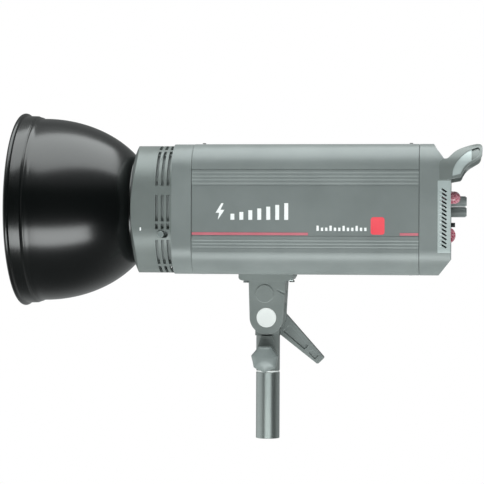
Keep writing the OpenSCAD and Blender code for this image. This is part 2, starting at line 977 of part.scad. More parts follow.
module slave_dome() {
  y = dome_at[0];
  z = dome_at[1];
  color("#cf4b58", 0.85)
    union() {
      rod_x(panel_x0 - 5, panel_x1, 4.9, y, z);
      rod_x(panel_x1, panel_x1 + 1.6, 7.6, y, z);
      rod_x(panel_x1 + 1.6, panel_x1 + 7, 6.7, y, z);
      translate([panel_x1 + 7, y, head_z + z])
        intersection() {
          sphere(6.7);
          translate([0, -10, -10])
            cube([20, 20, 20]);
        }
    }
}

module display_window() {
  color("#20383a")
    box_x(panel_x0 - 1, panel_x1 + 0.5, 33.8, 14.8, display_at[0], display_at[1]);
}

module mains_inlet() {
  y = inlet_at[0];
  z = inlet_at[1];
  color("#202323")
    union() {
      difference() {
        union() {
          box_x(panel_x1, panel_x1 + 1.8, 31, 22, y, z);
          box_x(panel_x0 - 16, panel_x1 + 1, 26.8, 19.8, y, z);
        }
        box_x(panel_x1 - 15, panel_x1 + 3, 22.6, 15.6, y, z);
      }
      for (s = [-1, 0, 1])
        box_x(panel_x1 - 15.5, panel_x1 - 5, 2, 4, y + s * 7, z + (s == 0 ? 2 : -2));
    }
}

module sync_socket() {
  y = sync_at[0];
  z = sync_at[1];
  color("#3b4140")
    difference() {
      union() {
        rod_x(panel_x0 - 16, panel_x1, 4.9, y, z);
        rod_x(panel_x1, panel_x1 + 2.2, 6.4, y, z);
      }
      rod_x(panel_x0 - 13, panel_x1 + 3, 3.25, y, z);
    }
}

module fuse_holder() {
  y = fuse_at[0];
  z = fuse_at[1];
  color("#2a2e2d")
    difference() {
      union() {
        rod_x(panel_x0 - 18, panel_x1, 5.9, y, z);
        rod_x(panel_x1, panel_x1 + 0.8, 7.4, y, z);
      }
      rod_x(panel_x0 - 12, panel_x1 + 2, 4 + run, y, z);
    }
}

module fuse_cap() {
  y = fuse_at[0];
  z = fuse_at[1];
  color("#333837")
    difference() {
      union() {
        rod_x(panel_x0 - 10, panel_x1 + 1.6, 4, y, z);
        rod_x(panel_x1 + 1.2, panel_x1 + 3.2, 6, y, z);
      }
      box_x(panel_x1 + 2.2, panel_x1 + 4, 8, 1.4, y, z);
    }
}

module rocker_frame() {
  y = rocker_at[0];
  z = rocker_at[1];
  color("#232726")
    difference() {
      union() {
        box_x(panel_x1, panel_x1 + 1.4, 15, 21, y, z);
        box_x(panel_x0 - 12, panel_x1 + 0.5, 12.8, 18.8, y, z);
      }
      box_x(panel_x1 - 7, panel_x1 + 3, 10.4, 16.4, y, z);
      rod_y(y - 8, y + 8, 1 + run, panel_x1 - 2, head_z + z);
    }
}

module power_rocker() {
  y = rocker_at[0];
  z = rocker_at[1];
  color("#c8434f")
    union() {
      intersection() {
        rod_y(y - 4.8, y + 4.8, 9, panel_x1 - 0.4, head_z + z);
        box_x(panel_x1 - 4, panel_x1 + 10, 10, 15, y, z);
      }
      rod_y(y - 6, y + 6, 1, panel_x1 - 2, head_z + z);
    }
}

module dial(at, x1) {
  color("#5d6463")
    difference() {
      union() {
        rod_x(panel_x0 - 8, panel_x1 + 2, shaft_r, at[0], at[1]);
        rod_x(panel_x1 + gap, x1 - 1, dial_r - 0.2, at[0], at[1]);
        rod_x(x1 - 1, x1, dial_r - 1, at[0], at[1]);
        translate([panel_x1 + 2, at[0], head_z + at[1]])
          rotate([90, 0, 90])
            linear_extrude(x1 - panel_x1 - 4)
              knurl(dial_r, 6);
      }
      box_x(x1 - 0.6, x1 + 1, 0.9, dial_r, at[0], at[1] + dial_r / 2);
    }
}

module dial_power() {
  dial(dial_power_at, dial_end);
}

module dial_lamp() {
  dial(dial_lamp_at, dial_end);
}

module push_key(at, r, x1) {
  color("#454c4a")
    union() {
      rod_x(panel_x0 - 4, x1, r, at[0], at[1]);
      rod_x(panel_x0 - 5.4, panel_x0 - gap, r + 1, at[0], at[1]);
    }
}

module test_button() {
  push_key(test_at, 2.4, cap_x1 + 4.5);
}

module key_sound() {
  push_key([key_y[0], key_z], 2.8, panel_x1 + 2.6);
}

module key_cell() {
  push_key([key_y[1], key_z], 2.8, panel_x1 + 2.6);
}

module key_lamp() {
  push_key([key_y[2], key_z], 2.8, panel_x1 + 2.6);
}

// ---- inside the body ----

module fan_frame() {
  color("#2b2f2e")
    difference() {
      union() {
        difference() {
          box_x(fan_x0, fan_x0 + fan_len, 92, 92);
          rod_x(fan_x0 - 1, fan_x0 + fan_len + 1, fan_r);
        }
        rod_x(fan_x0, fan_x0 + 4, 18);
        rod_x(fan_x0, fan_x0 + 20, shaft_r - 0.05);
        for (a = [0 : 90 : 270])
          rotate_head(a + 20)
            box_x(fan_x0, fan_x0 + 3, 4, fan_r - 16, 0, (fan_r + 17) / 2);
      }
      for (sy = [-1, 1], sz = [-1, 1])
        rod_x(fan_x0 - 1, fan_x0 + fan_len + 1, 2.2, sy * 41, sz * 41);
    }
}

module fan_rotor() {
  color("#3a403e")
    difference() {
      union() {
        rod_x(fan_x0 + 5, fan_x0 + 23, 18);
        intersection() {
          rod_x(fan_x0 + 5, fan_x0 + 22, fan_r - 1.5);
          for (i = [0 : 6])
            rotate_head(i * 360 / 7)
              translate([fan_x0 + 13.5, 0, head_z + 29])
                rotate([0, 0, 38])
                  cube([24, 1.6, 28], center = true);
        }
      }
      rod_x(fan_x0 + 4, fan_x0 + 21, shaft_r);
    }
}

module chassis_tray() {
  x0 = shell_x0 + 20;
  x1 = fan_x0 - 4;
  color("#b4bab8")
    union() {
      box_x(x0, x1, 104, 1.5, 0, tray_z);
      for (s = [-1, 1])
        box_x(x0, x1, 1.5, 10, s * 51, tray_z + 5);
    }
}

module capacitor_bank() {
  r = 20;
  color("#30363c")
    for (s = [-1, 1], level = [0, 1]) {
      z = tray_z + 0.75 + r + level * (2 * r + 1);
      rod_x(shell_x0 + 24, shell_x0 + 118, r, s * 21 - 4, z);
      for (t = [-1, 1])
        rod_x(shell_x0 + 118, shell_x0 + 124, 2.5, s * 21 - 4 + t * 6, z);
    }
}

module power_board() {
  x0 = shell_x0 + 24;
  color("#2f5a42")
    union() {
      box_x(x0, fan_x0 - 8, 1.6, 90, 44.8, tray_z + 45.75);
      for (i = [0 : 3])
        box_x(x0 + 118 + i * 10, x0 + 124 + i * 10, 8, 30, 40.2, -20 + 6 * (i % 2));
      for (i = [0 : 2])
        box_x(x0 + 20 + i * 26, x0 + 36 + i * 26, 6, 12, 41.2, 30);
    }
}

module transformer() {
  x0 = shell_x0 + 132;
  color("#6b5a3a")
    union() {
      box_x(x0, x0 + 44, 46, 14, -16, tray_z + 7.75);
      box_x(x0 + 14, x0 + 30, 44, 24, -16, tray_z + 26.75);
      box_x(x0, x0 + 44, 46, 12, -16, tray_z + 44.75);
    }
}

stand_tube();
stand_spigot();
pan_washer();
receiver();
friction_washers();
star_knob();
star_screw();
bracket_yoke();
bracket_plate();
bracket_screws();
pivot_disc();
tilt_axle();
tilt_lever();
lever_cap();
umbrella_screw();
clamp_screw();
body_shell();
side_plates();
red_stripes();
shell_screws();
front_collar();
front_ring();
front_bulkhead();
mount_socket();
glare_plate();
lamp_base();
flash_tube();
lamp_socket();
modelling_lamp();
release_button();
reflector_bowl();
reflector_rim();
reflector_bayonet();
rear_cap();
rear_panel();
vent_strip_left();
vent_strip_right();
handle();
handle_inlays();
slave_dome();
display_window();
mains_inlet();
sync_socket();
fuse_holder();
fuse_cap();
rocker_frame();
power_rocker();
dial_power();
dial_lamp();
test_button();
key_sound();
key_cell();
key_lamp();
fan_frame();
fan_rotor();
chassis_tray();
capacitor_bank();
power_board();
transformer();
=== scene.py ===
import json
import math

import bmesh
import bpy
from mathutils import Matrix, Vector


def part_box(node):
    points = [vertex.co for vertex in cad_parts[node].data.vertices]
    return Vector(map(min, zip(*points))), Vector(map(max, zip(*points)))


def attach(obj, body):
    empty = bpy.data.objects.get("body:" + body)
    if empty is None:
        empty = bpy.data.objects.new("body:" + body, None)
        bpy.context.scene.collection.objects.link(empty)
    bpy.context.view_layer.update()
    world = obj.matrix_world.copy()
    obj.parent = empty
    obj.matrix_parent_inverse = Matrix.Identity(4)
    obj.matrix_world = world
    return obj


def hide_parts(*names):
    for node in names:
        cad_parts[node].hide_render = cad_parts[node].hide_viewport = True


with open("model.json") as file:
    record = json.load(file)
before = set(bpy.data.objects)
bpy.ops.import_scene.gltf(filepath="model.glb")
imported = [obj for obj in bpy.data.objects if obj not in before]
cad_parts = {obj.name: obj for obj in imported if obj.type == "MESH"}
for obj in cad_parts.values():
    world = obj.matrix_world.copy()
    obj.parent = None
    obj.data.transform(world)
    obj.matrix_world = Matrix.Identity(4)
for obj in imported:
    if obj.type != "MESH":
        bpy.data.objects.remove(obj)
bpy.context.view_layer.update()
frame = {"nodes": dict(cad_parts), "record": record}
nodes = frame["nodes"]
nodeSlot = {part["node"]: part["material_slot"] for part in frame["record"]["subparts"]}
nodeBody = {n: body for body, names in frame["record"]["behaviour"]["bodies"].items() for n in names}
mm = 0.001
print("frame loaded:", len(nodes), "nodes")

# Stations read from the frame: the head's own axis and the faces that new pieces sit on
shellLow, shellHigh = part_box("body_shell")
axisZ = (shellLow.z + shellHigh.z) / 2
plateLow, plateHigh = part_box("side_plates")
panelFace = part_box("rear_panel")[1].x
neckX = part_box("reflector_bowl")[1].x
discLow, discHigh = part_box("pivot_disc")
pivotZ = (discLow.z + discHigh.z) / 2
stripLow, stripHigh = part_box("vent_strip_left")

# Camera
viewer = {
    "place": (0.2094, -2.080, 0.2151),  # metres, level with the middle of the head
    "turn": 6.55,                       # degrees towards the reflector
    "roll": -0.26,
    "lens": 141.3,                      # mm on a 36 mm sensor
}
lensData = bpy.data.cameras.new("camera")
lensData.lens = viewer["lens"]
lensData.sensor_width = 36
lensData.clip_end = 60
camera = bpy.data.objects.new("camera", lensData)
camera.location = viewer["place"]
camera.rotation_euler = (math.radians(90), math.radians(viewer["roll"]), math.radians(viewer["turn"]))
bpy.context.collection.objects.link(camera)
bpy.context.scene.camera = camera
bpy.context.scene.view_settings.view_transform = "Standard"


def linearColour(hexText):
    # sRGB hex to linear RGBA
    parts = [int(hexText[i:i + 2], 16) / 255 for i in (1, 3, 5)]
    return [c / 12.92 if c <= 0.04045 else ((c + 0.055) / 1.055) ** 2.4 for c in parts] + [1.0]


def addNode(tree, kind, inputs=None, **settings):
    # a node with its settings; an input is a value or another node's output
    node = tree.nodes.new(kind)
    for name, value in settings.items():
        setattr(node, name, value)
    for key, value in (inputs or {}).items():
        if isinstance(value, bpy.types.NodeSocket):
            tree.links.new(value, node.inputs[key])
        else:
            node.inputs[key].default_value = value
    return node


def link(piece):
    bpy.context.collection.objects.link(piece)
    return piece


def addPiece(name, mesh, body, materials, stands=()):
    # a finished mesh becomes a piece that rides on a body and may stand for CAD nodes
    mesh.materials.clear()
    for material in materials:
        mesh.materials.append(material)
    piece = link(bpy.data.objects.new(name, mesh))
    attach(piece, body)
    if stands:
        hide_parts(*stands)
    return piece


# Studio: pale floor far below the cut-off stand, light tent, two softboxes
studio = {
    "floorDrop": 0.9,
    "floorRadius": 2.6,
    "topPlace": (0.1, -0.14, 1.75), "topSize": (2.4, 1.6), "topPower": 38.0,
    "lowPlace": (0.15, -1.25, -0.66), "lowSize": (1.5, 0.62), "lowPower": 16.5,
    # level of the tent by height, from straight down to straight up
    "front": [(0.0, 0.12), (0.16, 0.15), (0.38, 0.02), (0.68, 0.02), (0.84, 0.30), (1.0, 0.7)],
    "back": [(0.0, 0.12), (0.22, 0.40), (0.5, 0.42), (0.64, 0.22), (0.84, 0.25), (1.0, 0.7)],
}


def makeFloor():
    shape = bmesh.new()
    bmesh.ops.create_circle(shape, cap_ends=True, segments=96, radius=studio["floorRadius"])
    bmesh.ops.translate(shape, verts=shape.verts, vec=(0, 0, -studio["floorDrop"]))
    mesh = bpy.data.meshes.new("floor")
    shape.to_mesh(mesh)
    shape.free()
    material = bpy.data.materials.new("matt paper sweep")
    material.use_nodes = True
    tree = material.node_tree
    tree.nodes.clear()
    grain = addNode(tree, "ShaderNodeTexNoise", {"Scale": 900.0, "Detail": 2.0})
    bump = addNode(tree, "ShaderNodeBump", {"Strength": 0.05, "Height": grain.outputs["Fac"]})
    paper = addNode(tree, "ShaderNodeBsdfPrincipled", {
        "Base Color": linearColour("#F4F4F2"), "Roughness": 0.9, "Normal": bump.outputs["Normal"],
        "Emission Color": (1, 1, 1, 1), "Emission Strength": 0.42})
    out = addNode(tree, "ShaderNodeOutputMaterial")
    tree.links.new(paper.outputs["BSDF"], out.inputs["Surface"])
    mesh.materials.append(material)
    floor = link(bpy.data.objects.new("floor", mesh))
    floor.visible_glossy = False  # keeps the undersides of glossy pieces dark


def levelRamp(tree, height, stops):
    ramp = addNode(tree, "ShaderNodeValToRGB", {"Fac": height})
    ramp.color_ramp.interpolation = "EASE"
    while len(ramp.color_ramp.elements) < len(stops):
        ramp.color_ramp.elements.new(0.5)
    for element, (place, level) in zip(ramp.color_ramp.elements, stops):
        element.position = place
        element.color = (level * 0.96, level, level * 0.995, 1)
    return ramp.outputs["Color"]


def makeWorld():
    # a tent that is bright above and behind and dim at eye level in front, plain white to the eye
    world = bpy.data.worlds.new("light tent")
    world.use_nodes = True
    tree = world.node_tree
    tree.nodes.clear()
    where = addNode(tree, "ShaderNodeTexCoord")
    split = addNode(tree, "ShaderNodeSeparateXYZ", {0: where.outputs["Generated"]})
    height = addNode(tree, "ShaderNodeMapRange", {
        "Value": split.outputs["Z"], "From Min": -1.0, "From Max": 1.0}).outputs["Result"]
    behind = addNode(tree, "ShaderNodeMapRange", {
        "Value": split.outputs["Y"], "From Min": -0.25, "From Max": 0.35}, interpolation_type="SMOOTHSTEP")
    both = addNode(tree, "ShaderNodeMix", {
        0: behind.outputs["Result"], 6: levelRamp(tree, height, studio["front"]),
        7: levelRamp(tree, height, studio["back"])}, data_type="RGBA")
    # a bright patch on the reflector's side fills the silvered bowl
    side = addNode(tree, "ShaderNodeMapRange", {
        "Value": split.outputs["X"], "From Min": -0.55, "From Max": -0.95}, interpolation_type="SMOOTHSTEP")
    glow = addNode(tree, "ShaderNodeMix", {
        0: side.outputs["Result"], 6: both.outputs[2], 7: (0.9, 0.93, 0.93, 1)}, data_type="RGBA")
    light = addNode(tree, "ShaderNodeBackground", {"Color": glow.outputs[2], "Strength": 1.0})
    white = addNode(tree, "ShaderNodeBackground", {"Color": (1, 1, 1, 1), "Strength": 1.0})
    rays = addNode(tree, "ShaderNodeLightPath")
    mix = addNode(tree, "ShaderNodeMixShader", {
        0: rays.outputs["Is Camera Ray"], 1: light.outputs[0], 2: white.outputs[0]})
    out = addNode(tree, "ShaderNodeOutputWorld")
    tree.links.new(mix.outputs[0], out.inputs["Surface"])
    bpy.context.scene.world = world


def addSoftbox(name, place, aim, size, power):
    data = bpy.data.lights.new(name, "AREA")
    data.shape = "RECTANGLE"
    data.size, data.size_y = size
    data.energy = power
    data.color = (0.955, 1.0, 0.995)
    lamp = link(bpy.data.objects.new(name, data))
    lamp.location = place
    lamp.rotation_euler = (Vector(aim) - Vector(place)).to_track_quat("-Z", "Y").to_euler()
    lamp.visible_camera = False


makeFloor()
makeWorld()
addSoftbox("top softbox", studio["topPlace"], (0, 0, axisZ), studio["topSize"], studio["topPower"])
addSoftbox("low strip", studio["lowPlace"], (0, 0, axisZ), studio["lowSize"], studio["lowPower"])
print("studio ready")


def newMaterial(name, surface):
    # a Principled surface with its tree and Object coordinates
    material = bpy.data.materials.new(name)
    material.use_nodes = True
    tree = material.node_tree
    tree.nodes.clear()
    shader = addNode(tree, "ShaderNodeBsdfPrincipled", surface)
    out = addNode(tree, "ShaderNodeOutputMaterial")
    tree.links.new(shader.outputs["BSDF"], out.inputs["Surface"])
    return material, tree, shader, addNode(tree, "ShaderNodeTexCoord").outputs["Object"]


def mixColour(tree, factor, first, second):
    mix = addNode(tree, "ShaderNodeMix", {0: factor, 6: first, 7: second}, data_type="RGBA")
    return mix.outputs[2]


def surfaceMaterial(name, look):
    # cloudy colour drift, fine grain in the normal, uneven gloss, dust on top faces, paler worn edges
    material, tree, shader, coords = newMaterial(name, {
        "Metallic": look.get("metal", 0.0), "Specular IOR Level": look.get("specular", 0.5),
        "Coat Weight": look.get("coat", 0.0), "Coat Roughness": 0.12})
    stretch = addNode(tree, "ShaderNodeMapping", {"Vector": coords, "Scale": look.get("stretch", (1, 1, 1))})
    drift = addNode(tree, "ShaderNodeTexNoise", {"Vector": coords, "Scale": 22.0, "Detail": 4.0})
    grain = addNode(tree, "ShaderNodeTexNoise", {
        "Vector": stretch.outputs["Vector"], "Scale": 1 / (look["grain"] * mm), "Detail": 3.0,
        "Roughness": 0.6})
    tone = addNode(tree, "ShaderNodeMapRange", {
        "Value": drift.outputs["Fac"], "From Min": 0.35, "From Max": 0.65}).outputs["Result"]
    colour = mixColour(tree, tone, linearColour(look["dark"]), linearColour(look["light"]))
    facing = addNode(tree, "ShaderNodeSeparateXYZ", {
        0: addNode(tree, "ShaderNodeNewGeometry").outputs["Normal"]}).outputs["Z"]
    specks = addNode(tree, "ShaderNodeTexNoise", {"Vector": coords, "Scale": 900.0, "Detail": 2.0})
    settled = addNode(tree, "ShaderNodeMapRange", {
        "Value": facing, "From Min": 0.75, "From Max": 1.0, "To Max": look.get("dust", 0.12)})
    dust = addNode(tree, "ShaderNodeMath", {
        0: settled.outputs["Result"], 1: specks.outputs["Fac"]}, operation="MULTIPLY")
    colour = mixColour(tree, dust.outputs[0], colour, linearColour("#B9B6AC"))
    edge = addNode(tree, "ShaderNodeAttribute", attribute_name="edgeWear")
    chips = addNode(tree, "ShaderNodeTexNoise", {"Vector": coords, "Scale": 320.0, "Detail": 4.0})
    rubbed = addNode(tree, "ShaderNodeMath", {
        0: edge.outputs["Fac"], 1: chips.outputs["Fac"]}, operation="MULTIPLY")
    colour = mixColour(tree, rubbed.outputs[0], colour, linearColour(look.get("worn", look["light"])))
    tree.links.new(colour, shader.inputs["Base Color"])
    spread = addNode(tree, "ShaderNodeMapRange", {
        "Value": drift.outputs["Fac"], "To Min": look["rough"][0], "To Max": look["rough"][1]})
    tree.links.new(spread.outputs["Result"], shader.inputs["Roughness"])
    bump = addNode(tree, "ShaderNodeBump", {
        "Strength": look["bump"], "Distance": 0.0003, "Height": grain.outputs["Fac"]})
    tree.links.new(bump.outputs["Normal"], shader.inputs["Normal"])
    return material


# Finishes, one per material slot: colours, grain size in mm, gloss and wear
looks = {
    # satin metallic powder coat, faint orange peel: soft grey body with bright rounded corners
    "housing": ("metallic powder coat", {"dark": "#7E8584", "light": "#868D8C", "metal": 0.12, "grain": 1.1,
                "bump": 0.10, "rough": (0.34, 0.42), "worn": "#A3ABAA"}),
    # moulded ABS with a spark-eroded texture, flatter than the coated metal
    "ring_plastic": ("moulded grey ABS", {"dark": "#747B79", "light": "#7B8280", "metal": 0.2, "grain": 0.7,
                     "bump": 0.16, "rough": (0.36, 0.44), "worn": "#99A2A0"}),
    # printed film on the sides: darker, very smooth
    "plate_print": ("screen-printed film", {"dark": "#7A8180", "light": "#808786", "metal": 0.1, "grain": 0.5,
                    "bump": 0.05, "rough": (0.34, 0.40)}),
    "red_trim": ("printed red ink", {"dark": "#BE6A75", "light": "#C87681", "grain": 0.6, "bump": 0.05,
                 "rough": (0.35, 0.45)}),
    # sand-cast arm under thick grey paint, rubbed pale on its corners
    "cast_bracket": ("painted sand casting", {"dark": "#7D8482", "light": "#8A918F", "metal": 0.2,
                     "grain": 1.8, "bump": 0.30, "rough": (0.38, 0.50), "worn": "#B4BCBA"}),
    "lever_plastic": ("glass-filled nylon", {"dark": "#7A8180", "light": "#878E8C", "grain": 1.0,
                      "bump": 0.25, "rough": (0.34, 0.46), "worn": "#A0A8A6"}),
    "knob_plastic": ("moulded grey knob plastic", {"dark": "#7C8483", "light": "#8D9594", "metal": 0.1,
                     "grain": 0.8, "bump": 0.15, "rough": (0.30, 0.40), "worn": "#B0B8B6"}),
    "dial_plastic": ("moulded dial plastic", {"dark": "#727A79", "light": "#838B8A", "grain": 0.5,
                     "bump": 0.12, "rough": (0.30, 0.42), "worn": "#8F9796"}),
    "black_plastic": ("black ABS", {"dark": "#3A3F3F", "light": "#454B4B", "grain": 0.6, "bump": 0.15,
                      "rough": (0.35, 0.50), "worn": "#5A6060"}),
    "nylon_white": ("natural nylon", {"dark": "#E9EDEB", "light": "#F6F8F7", "grain": 1.5, "bump": 0.05,
                    "rough": (0.40, 0.50)}),
    "fibre_black": ("pressed fibre washer", {"dark": "#343736", "light": "#434746", "grain": 0.4,
                    "bump": 0.4, "rough": (0.75, 0.90)}),
    "panel_dark": ("anodised control panel", {"dark": "#5A6160", "light": "#626968", "metal": 0.3,
                   "grain": 0.5, "bump": 0.08, "rough": (0.34, 0.42)}),
    "bright_steel": ("zinc plated steel", {"dark": "#8F9695", "light": "#A0A6A5", "metal": 0.8, "grain": 0.7,
                     "bump": 0.10, "rough": (0.26, 0.38)}),
    "bayonet_steel": ("blued turned steel", {"dark": "#565C5B", "light": "#656B6A", "metal": 0.9,
                      "grain": 0.5, "stretch": (1, 0.05, 0.05), "bump": 0.12, "rough": (0.25, 0.35)}),
    "tray_steel": ("galvanised sheet", {"dark": "#9BA19F", "light": "#B4BAB8", "metal": 0.9, "grain": 4.0,
                   "bump": 0.08, "rough": (0.35, 0.50)}),
    # satin anodised trim, brushed along the strip
    "silver_trim": ("brushed anodised aluminium", {"dark": "#AEB9B8", "light": "#BCC6C5", "metal": 0.25,
                    "grain": 0.6, "stretch": (1, 1, 0.05), "bump": 0.10, "rough": (0.42, 0.50)}),
    # near-white colour stands in for the bright reflection of the polished metal cap: painted reflection
    "polished_disc": ("near-white cap with painted reflection", {"dark": "#F0F4F2", "light": "#FAFCFB", "coat": 0.4,
                      "grain": 1.5, "bump": 0.03, "rough": (0.25, 0.35)}),
    "ceramic_white": ("unglazed steatite", {"dark": "#DDD9CE", "light": "#ECE8DD", "grain": 0.5,
                      "bump": 0.15, "rough": (0.55, 0.70)}),
    "display_glass": ("tinted acrylic", {"dark": "#14201F", "light": "#1A2827", "coat": 0.6, "grain": 3.0,
                      "bump": 0.01, "rough": (0.08, 0.14)}),
    "capacitor_sleeve": ("shrink sleeve", {"dark": "#2A3036", "light": "#343B42", "coat": 0.3, "grain": 2.0,
                         "bump": 0.08, "rough": (0.25, 0.35)}),
    "board_green": ("solder mask", {"dark": "#24513A", "light": "#2E6146", "coat": 0.3, "grain": 0.8,
                    "bump": 0.1, "rough": (0.35, 0.45)}),
    "winding": ("varnished copper winding", {"dark": "#7A5A2C", "light": "#9A7438", "metal": 0.7,
                "grain": 0.8, "stretch": (0.1, 1, 1), "bump": 0.5, "rough": (0.28, 0.40)}),
}
finish = {slotName: surfaceMaterial(name, look) for slotName, (name, look) in looks.items()}


def blackEnamel():
    # stoved gloss black over spun aluminium: deep black, soft-edged reflections, faint spinning rings
    material, tree, shader, coords = newMaterial("stoved black enamel", {
        "Base Color": linearColour("#070A0A"), "Specular IOR Level": 0.6, "Coat Weight": 0.2,
        "Coat Roughness": 0.16})
    split = addNode(tree, "ShaderNodeSeparateXYZ", {0: coords})
    fine = addNode(tree, "ShaderNodeTexNoise", {"W": split.outputs["X"], "Scale": 900.0, "Detail": 2.0},
                   noise_dimensions="1D")
    peel = addNode(tree, "ShaderNodeTexNoise", {"Vector": coords, "Scale": 420.0, "Detail": 2.0})
    smears = addNode(tree, "ShaderNodeTexNoise", {"Vector": coords, "Scale": 14.0, "Detail": 5.0})
    height = addNode(tree, "ShaderNodeMath", {
        0: fine.outputs["Fac"], 1: 0.35, 2: peel.outputs["Fac"]}, operation="MULTIPLY_ADD")
    bump = addNode(tree, "ShaderNodeBump", {
        "Strength": 0.05, "Distance": 0.0003, "Height": height.outputs[0]})
    tree.links.new(bump.outputs["Normal"], shader.inputs["Normal"])
    gloss = addNode(tree, "ShaderNodeMapRange", {
        "Value": smears.outputs["Fac"], "To Min": 0.20, "To Max": 0.28})
    tree.links.new(gloss.outputs["Result"], shader.inputs["Roughness"])
    return material


def dimpledSilver():
    # peened anodised lining of the bowl: bright, broken up by shallow dimples
    material, tree, shader, coords = newMaterial("peened anodised lining", {
        "Base Color": linearColour("#C3C8C9"), "Metallic": 1.0, "Roughness": 0.26})
    cells = addNode(tree, "ShaderNodeTexVoronoi", {"Vector": coords, "Scale": 320.0})
    bump = addNode(tree, "ShaderNodeBump", {
        "Strength": 0.5, "Distance": 0.0004, "Height": cells.outputs["Distance"]})
    tree.links.new(bump.outputs["Normal"], shader.inputs["Normal"])
    return material


def turnedTube():
    # tube polished round and round in a lathe: one bright soft line runs down its middle
    material, tree, shader, coords = newMaterial("lathe-polished steel tube", {
        "Metallic": 0.9, "Roughness": 0.46, "Anisotropic": 0.8, "Anisotropic Rotation": 0.25})
    rings = addNode(tree, "ShaderNodeMapping", {"Vector": coords, "Scale": (0.05, 0.05, 1)})
    grit = addNode(tree, "ShaderNodeTexNoise", {
        "Vector": rings.outputs["Vector"], "Scale": 1600.0, "Detail": 3.0})
    colour = mixColour(tree, grit.outputs["Fac"], linearColour("#A5ADAB"), linearColour("#B3BBB9"))
    tree.links.new(colour, shader.inputs["Base Color"])
    bump = addNode(tree, "ShaderNodeBump", {
        "Strength": 0.04, "Distance": 0.0003, "Height": grit.outputs["Fac"]})
    tree.links.new(bump.outputs["Normal"], shader.inputs["Normal"])
    tangent = addNode(tree, "ShaderNodeTangent", direction_type="RADIAL", axis="Z")
    tree.links.new(tangent.outputs["Tangent"], shader.inputs["Tangent"])
    return material


def redLens():
    # translucent red styrene: glows at the rim, darker in the middle, sharp highlights from its gloss plus
    # pale painted highlights on the facets
    material, tree, shader, coords = newMaterial("red styrene lens", {
        "Roughness": 0.16, "Coat Weight": 0.5, "Transmission Weight": 0.15, "IOR": 1.49})
    depth = addNode(tree, "ShaderNodeTexNoise", {"Vector": coords, "Scale": 240.0, "Detail": 3.0})
    colour = mixColour(tree, depth.outputs["Fac"], linearColour("#B8405A"), linearColour("#D8687E"))
    # prism ribs 2 mm apart on its inside: the bump gives the ribs, and the pale pink on the facet edges is a
    # painted highlight
    cells = addNode(tree, "ShaderNodeTexVoronoi", {"Vector": coords, "Scale": 500.0})
    paintedFacetHighlights = addNode(tree, "ShaderNodeMapRange", {
        "Value": cells.outputs["Distance"], "From Min": 0.25, "From Max": 0.6, "To Max": 0.75})
    # pale pink mixed in at the cell edges is painted highlight, standing in for glints on the facets
    colour = mixColour(tree, paintedFacetHighlights.outputs["Result"], colour, linearColour("#F0B4C0"))
    tree.links.new(colour, shader.inputs["Base Color"])
    bump = addNode(tree, "ShaderNodeBump", {
        "Strength": 0.7, "Distance": 0.0004, "Height": cells.outputs["Distance"]})
    tree.links.new(bump.outputs["Normal"], shader.inputs["Normal"])
    return material


def clearGlass(name, colour, rough, through):
    material, tree, shader, coords = newMaterial(name, {
        "Base Color": linearColour(colour), "Transmission Weight": through, "IOR": 1.47})
    haze = addNode(tree, "ShaderNodeTexNoise", {"Vector": coords, "Scale": 160.0, "Detail": 3.0})
    spread = addNode(tree, "ShaderNodeMapRange", {
        "Value": haze.outputs["Fac"], "To Min": rough, "To Max": rough + 0.08})
    tree.links.new(spread.outputs["Result"], shader.inputs["Roughness"])
    return material


finish["reflector_black"] = blackEnamel()
finish["red_lens"] = redLens()
finish["tube_steel"] = turnedTube()
finish["flash_glass"] = clearGlass("quartz flash tube", "#F2FAFC", 0.03, 0.9)
finish["lamp_glass"] = clearGlass("frosted lamp glass", "#F6F7F4", 0.35, 0.6)
lining = dimpledSilver()
finish["sleeve"] = surfaceMaterial("pale insulating fibre", {
    "dark": "#9CA3A2", "light": "#A8AFAE", "grain": 0.8, "bump": 0.15, "rough": (0.6, 0.75)})
ink = surfaceMaterial("white screen ink", {"dark": "#F2F5F4", "light": "#FCFDFD", "grain": 0.4, "bump": 0.06,
                                           "rough": (0.45, 0.55), "dust": 0.0})
redInk = surfaceMaterial("red screen ink", {"dark": "#EE4E5A", "light": "#F45E68", "grain": 0.4, "bump": 0.06,
                                            "rough": (0.40, 0.50), "dust": 0.0})
print("materials ready:", len(finish) + 3)


def cleanShape(name):
    # a node's mesh with doubled points joined and flat facets merged
    shape = bmesh.new()
    shape.from_mesh(nodes[name].data)
    bmesh.ops.remove_doubles(shape, verts=shape.verts, dist=1e-6)
    bmesh.ops.dissolve_limit(shape, angle_limit=math.radians(0.4), verts=shape.verts, edges=shape.edges)
    return shape


def evenNormals(mesh):
    # large faces keep their own normals beside small rounded ones
    holder = link(bpy.data.objects.new("holder", mesh))
    modifier = holder.modifiers.new("normals", "WEIGHTED_NORMAL")
    modifier.keep_sharp = True
    result = bpy.data.meshes.new_from_object(holder.evaluated_get(bpy.context.evaluated_depsgraph_get()))
    bpy.data.objects.remove(holder)
    return result


def softMesh(name, shape, width, segments, sharpFrom=30):
    # rounds the hard edges; the new faces carry the wear attribute
    wear = shape.faces.layers.float.new("edgeWear")
    limit = math.radians(sharpFrom)
    hard = [e for e in shape.edges if len(e.link_faces) == 2 and e.calc_face_angle(0) > limit]
    made = bmesh.ops.bevel(shape, geom=hard, offset=width * mm, offset_type="OFFSET", segments=segments,
                           profile=0.5, affect="EDGES", clamp_overlap=True)
    for face in made["faces"]:
        face[wear] = 1.0
    for face in shape.faces:
        face.smooth = True
    mesh = bpy.data.meshes.new(name)
    shape.to_mesh(mesh)
    shape.free()
    mesh.set_sharp_from_angle(angle=math.radians(42))
    return evenNormals(mesh)


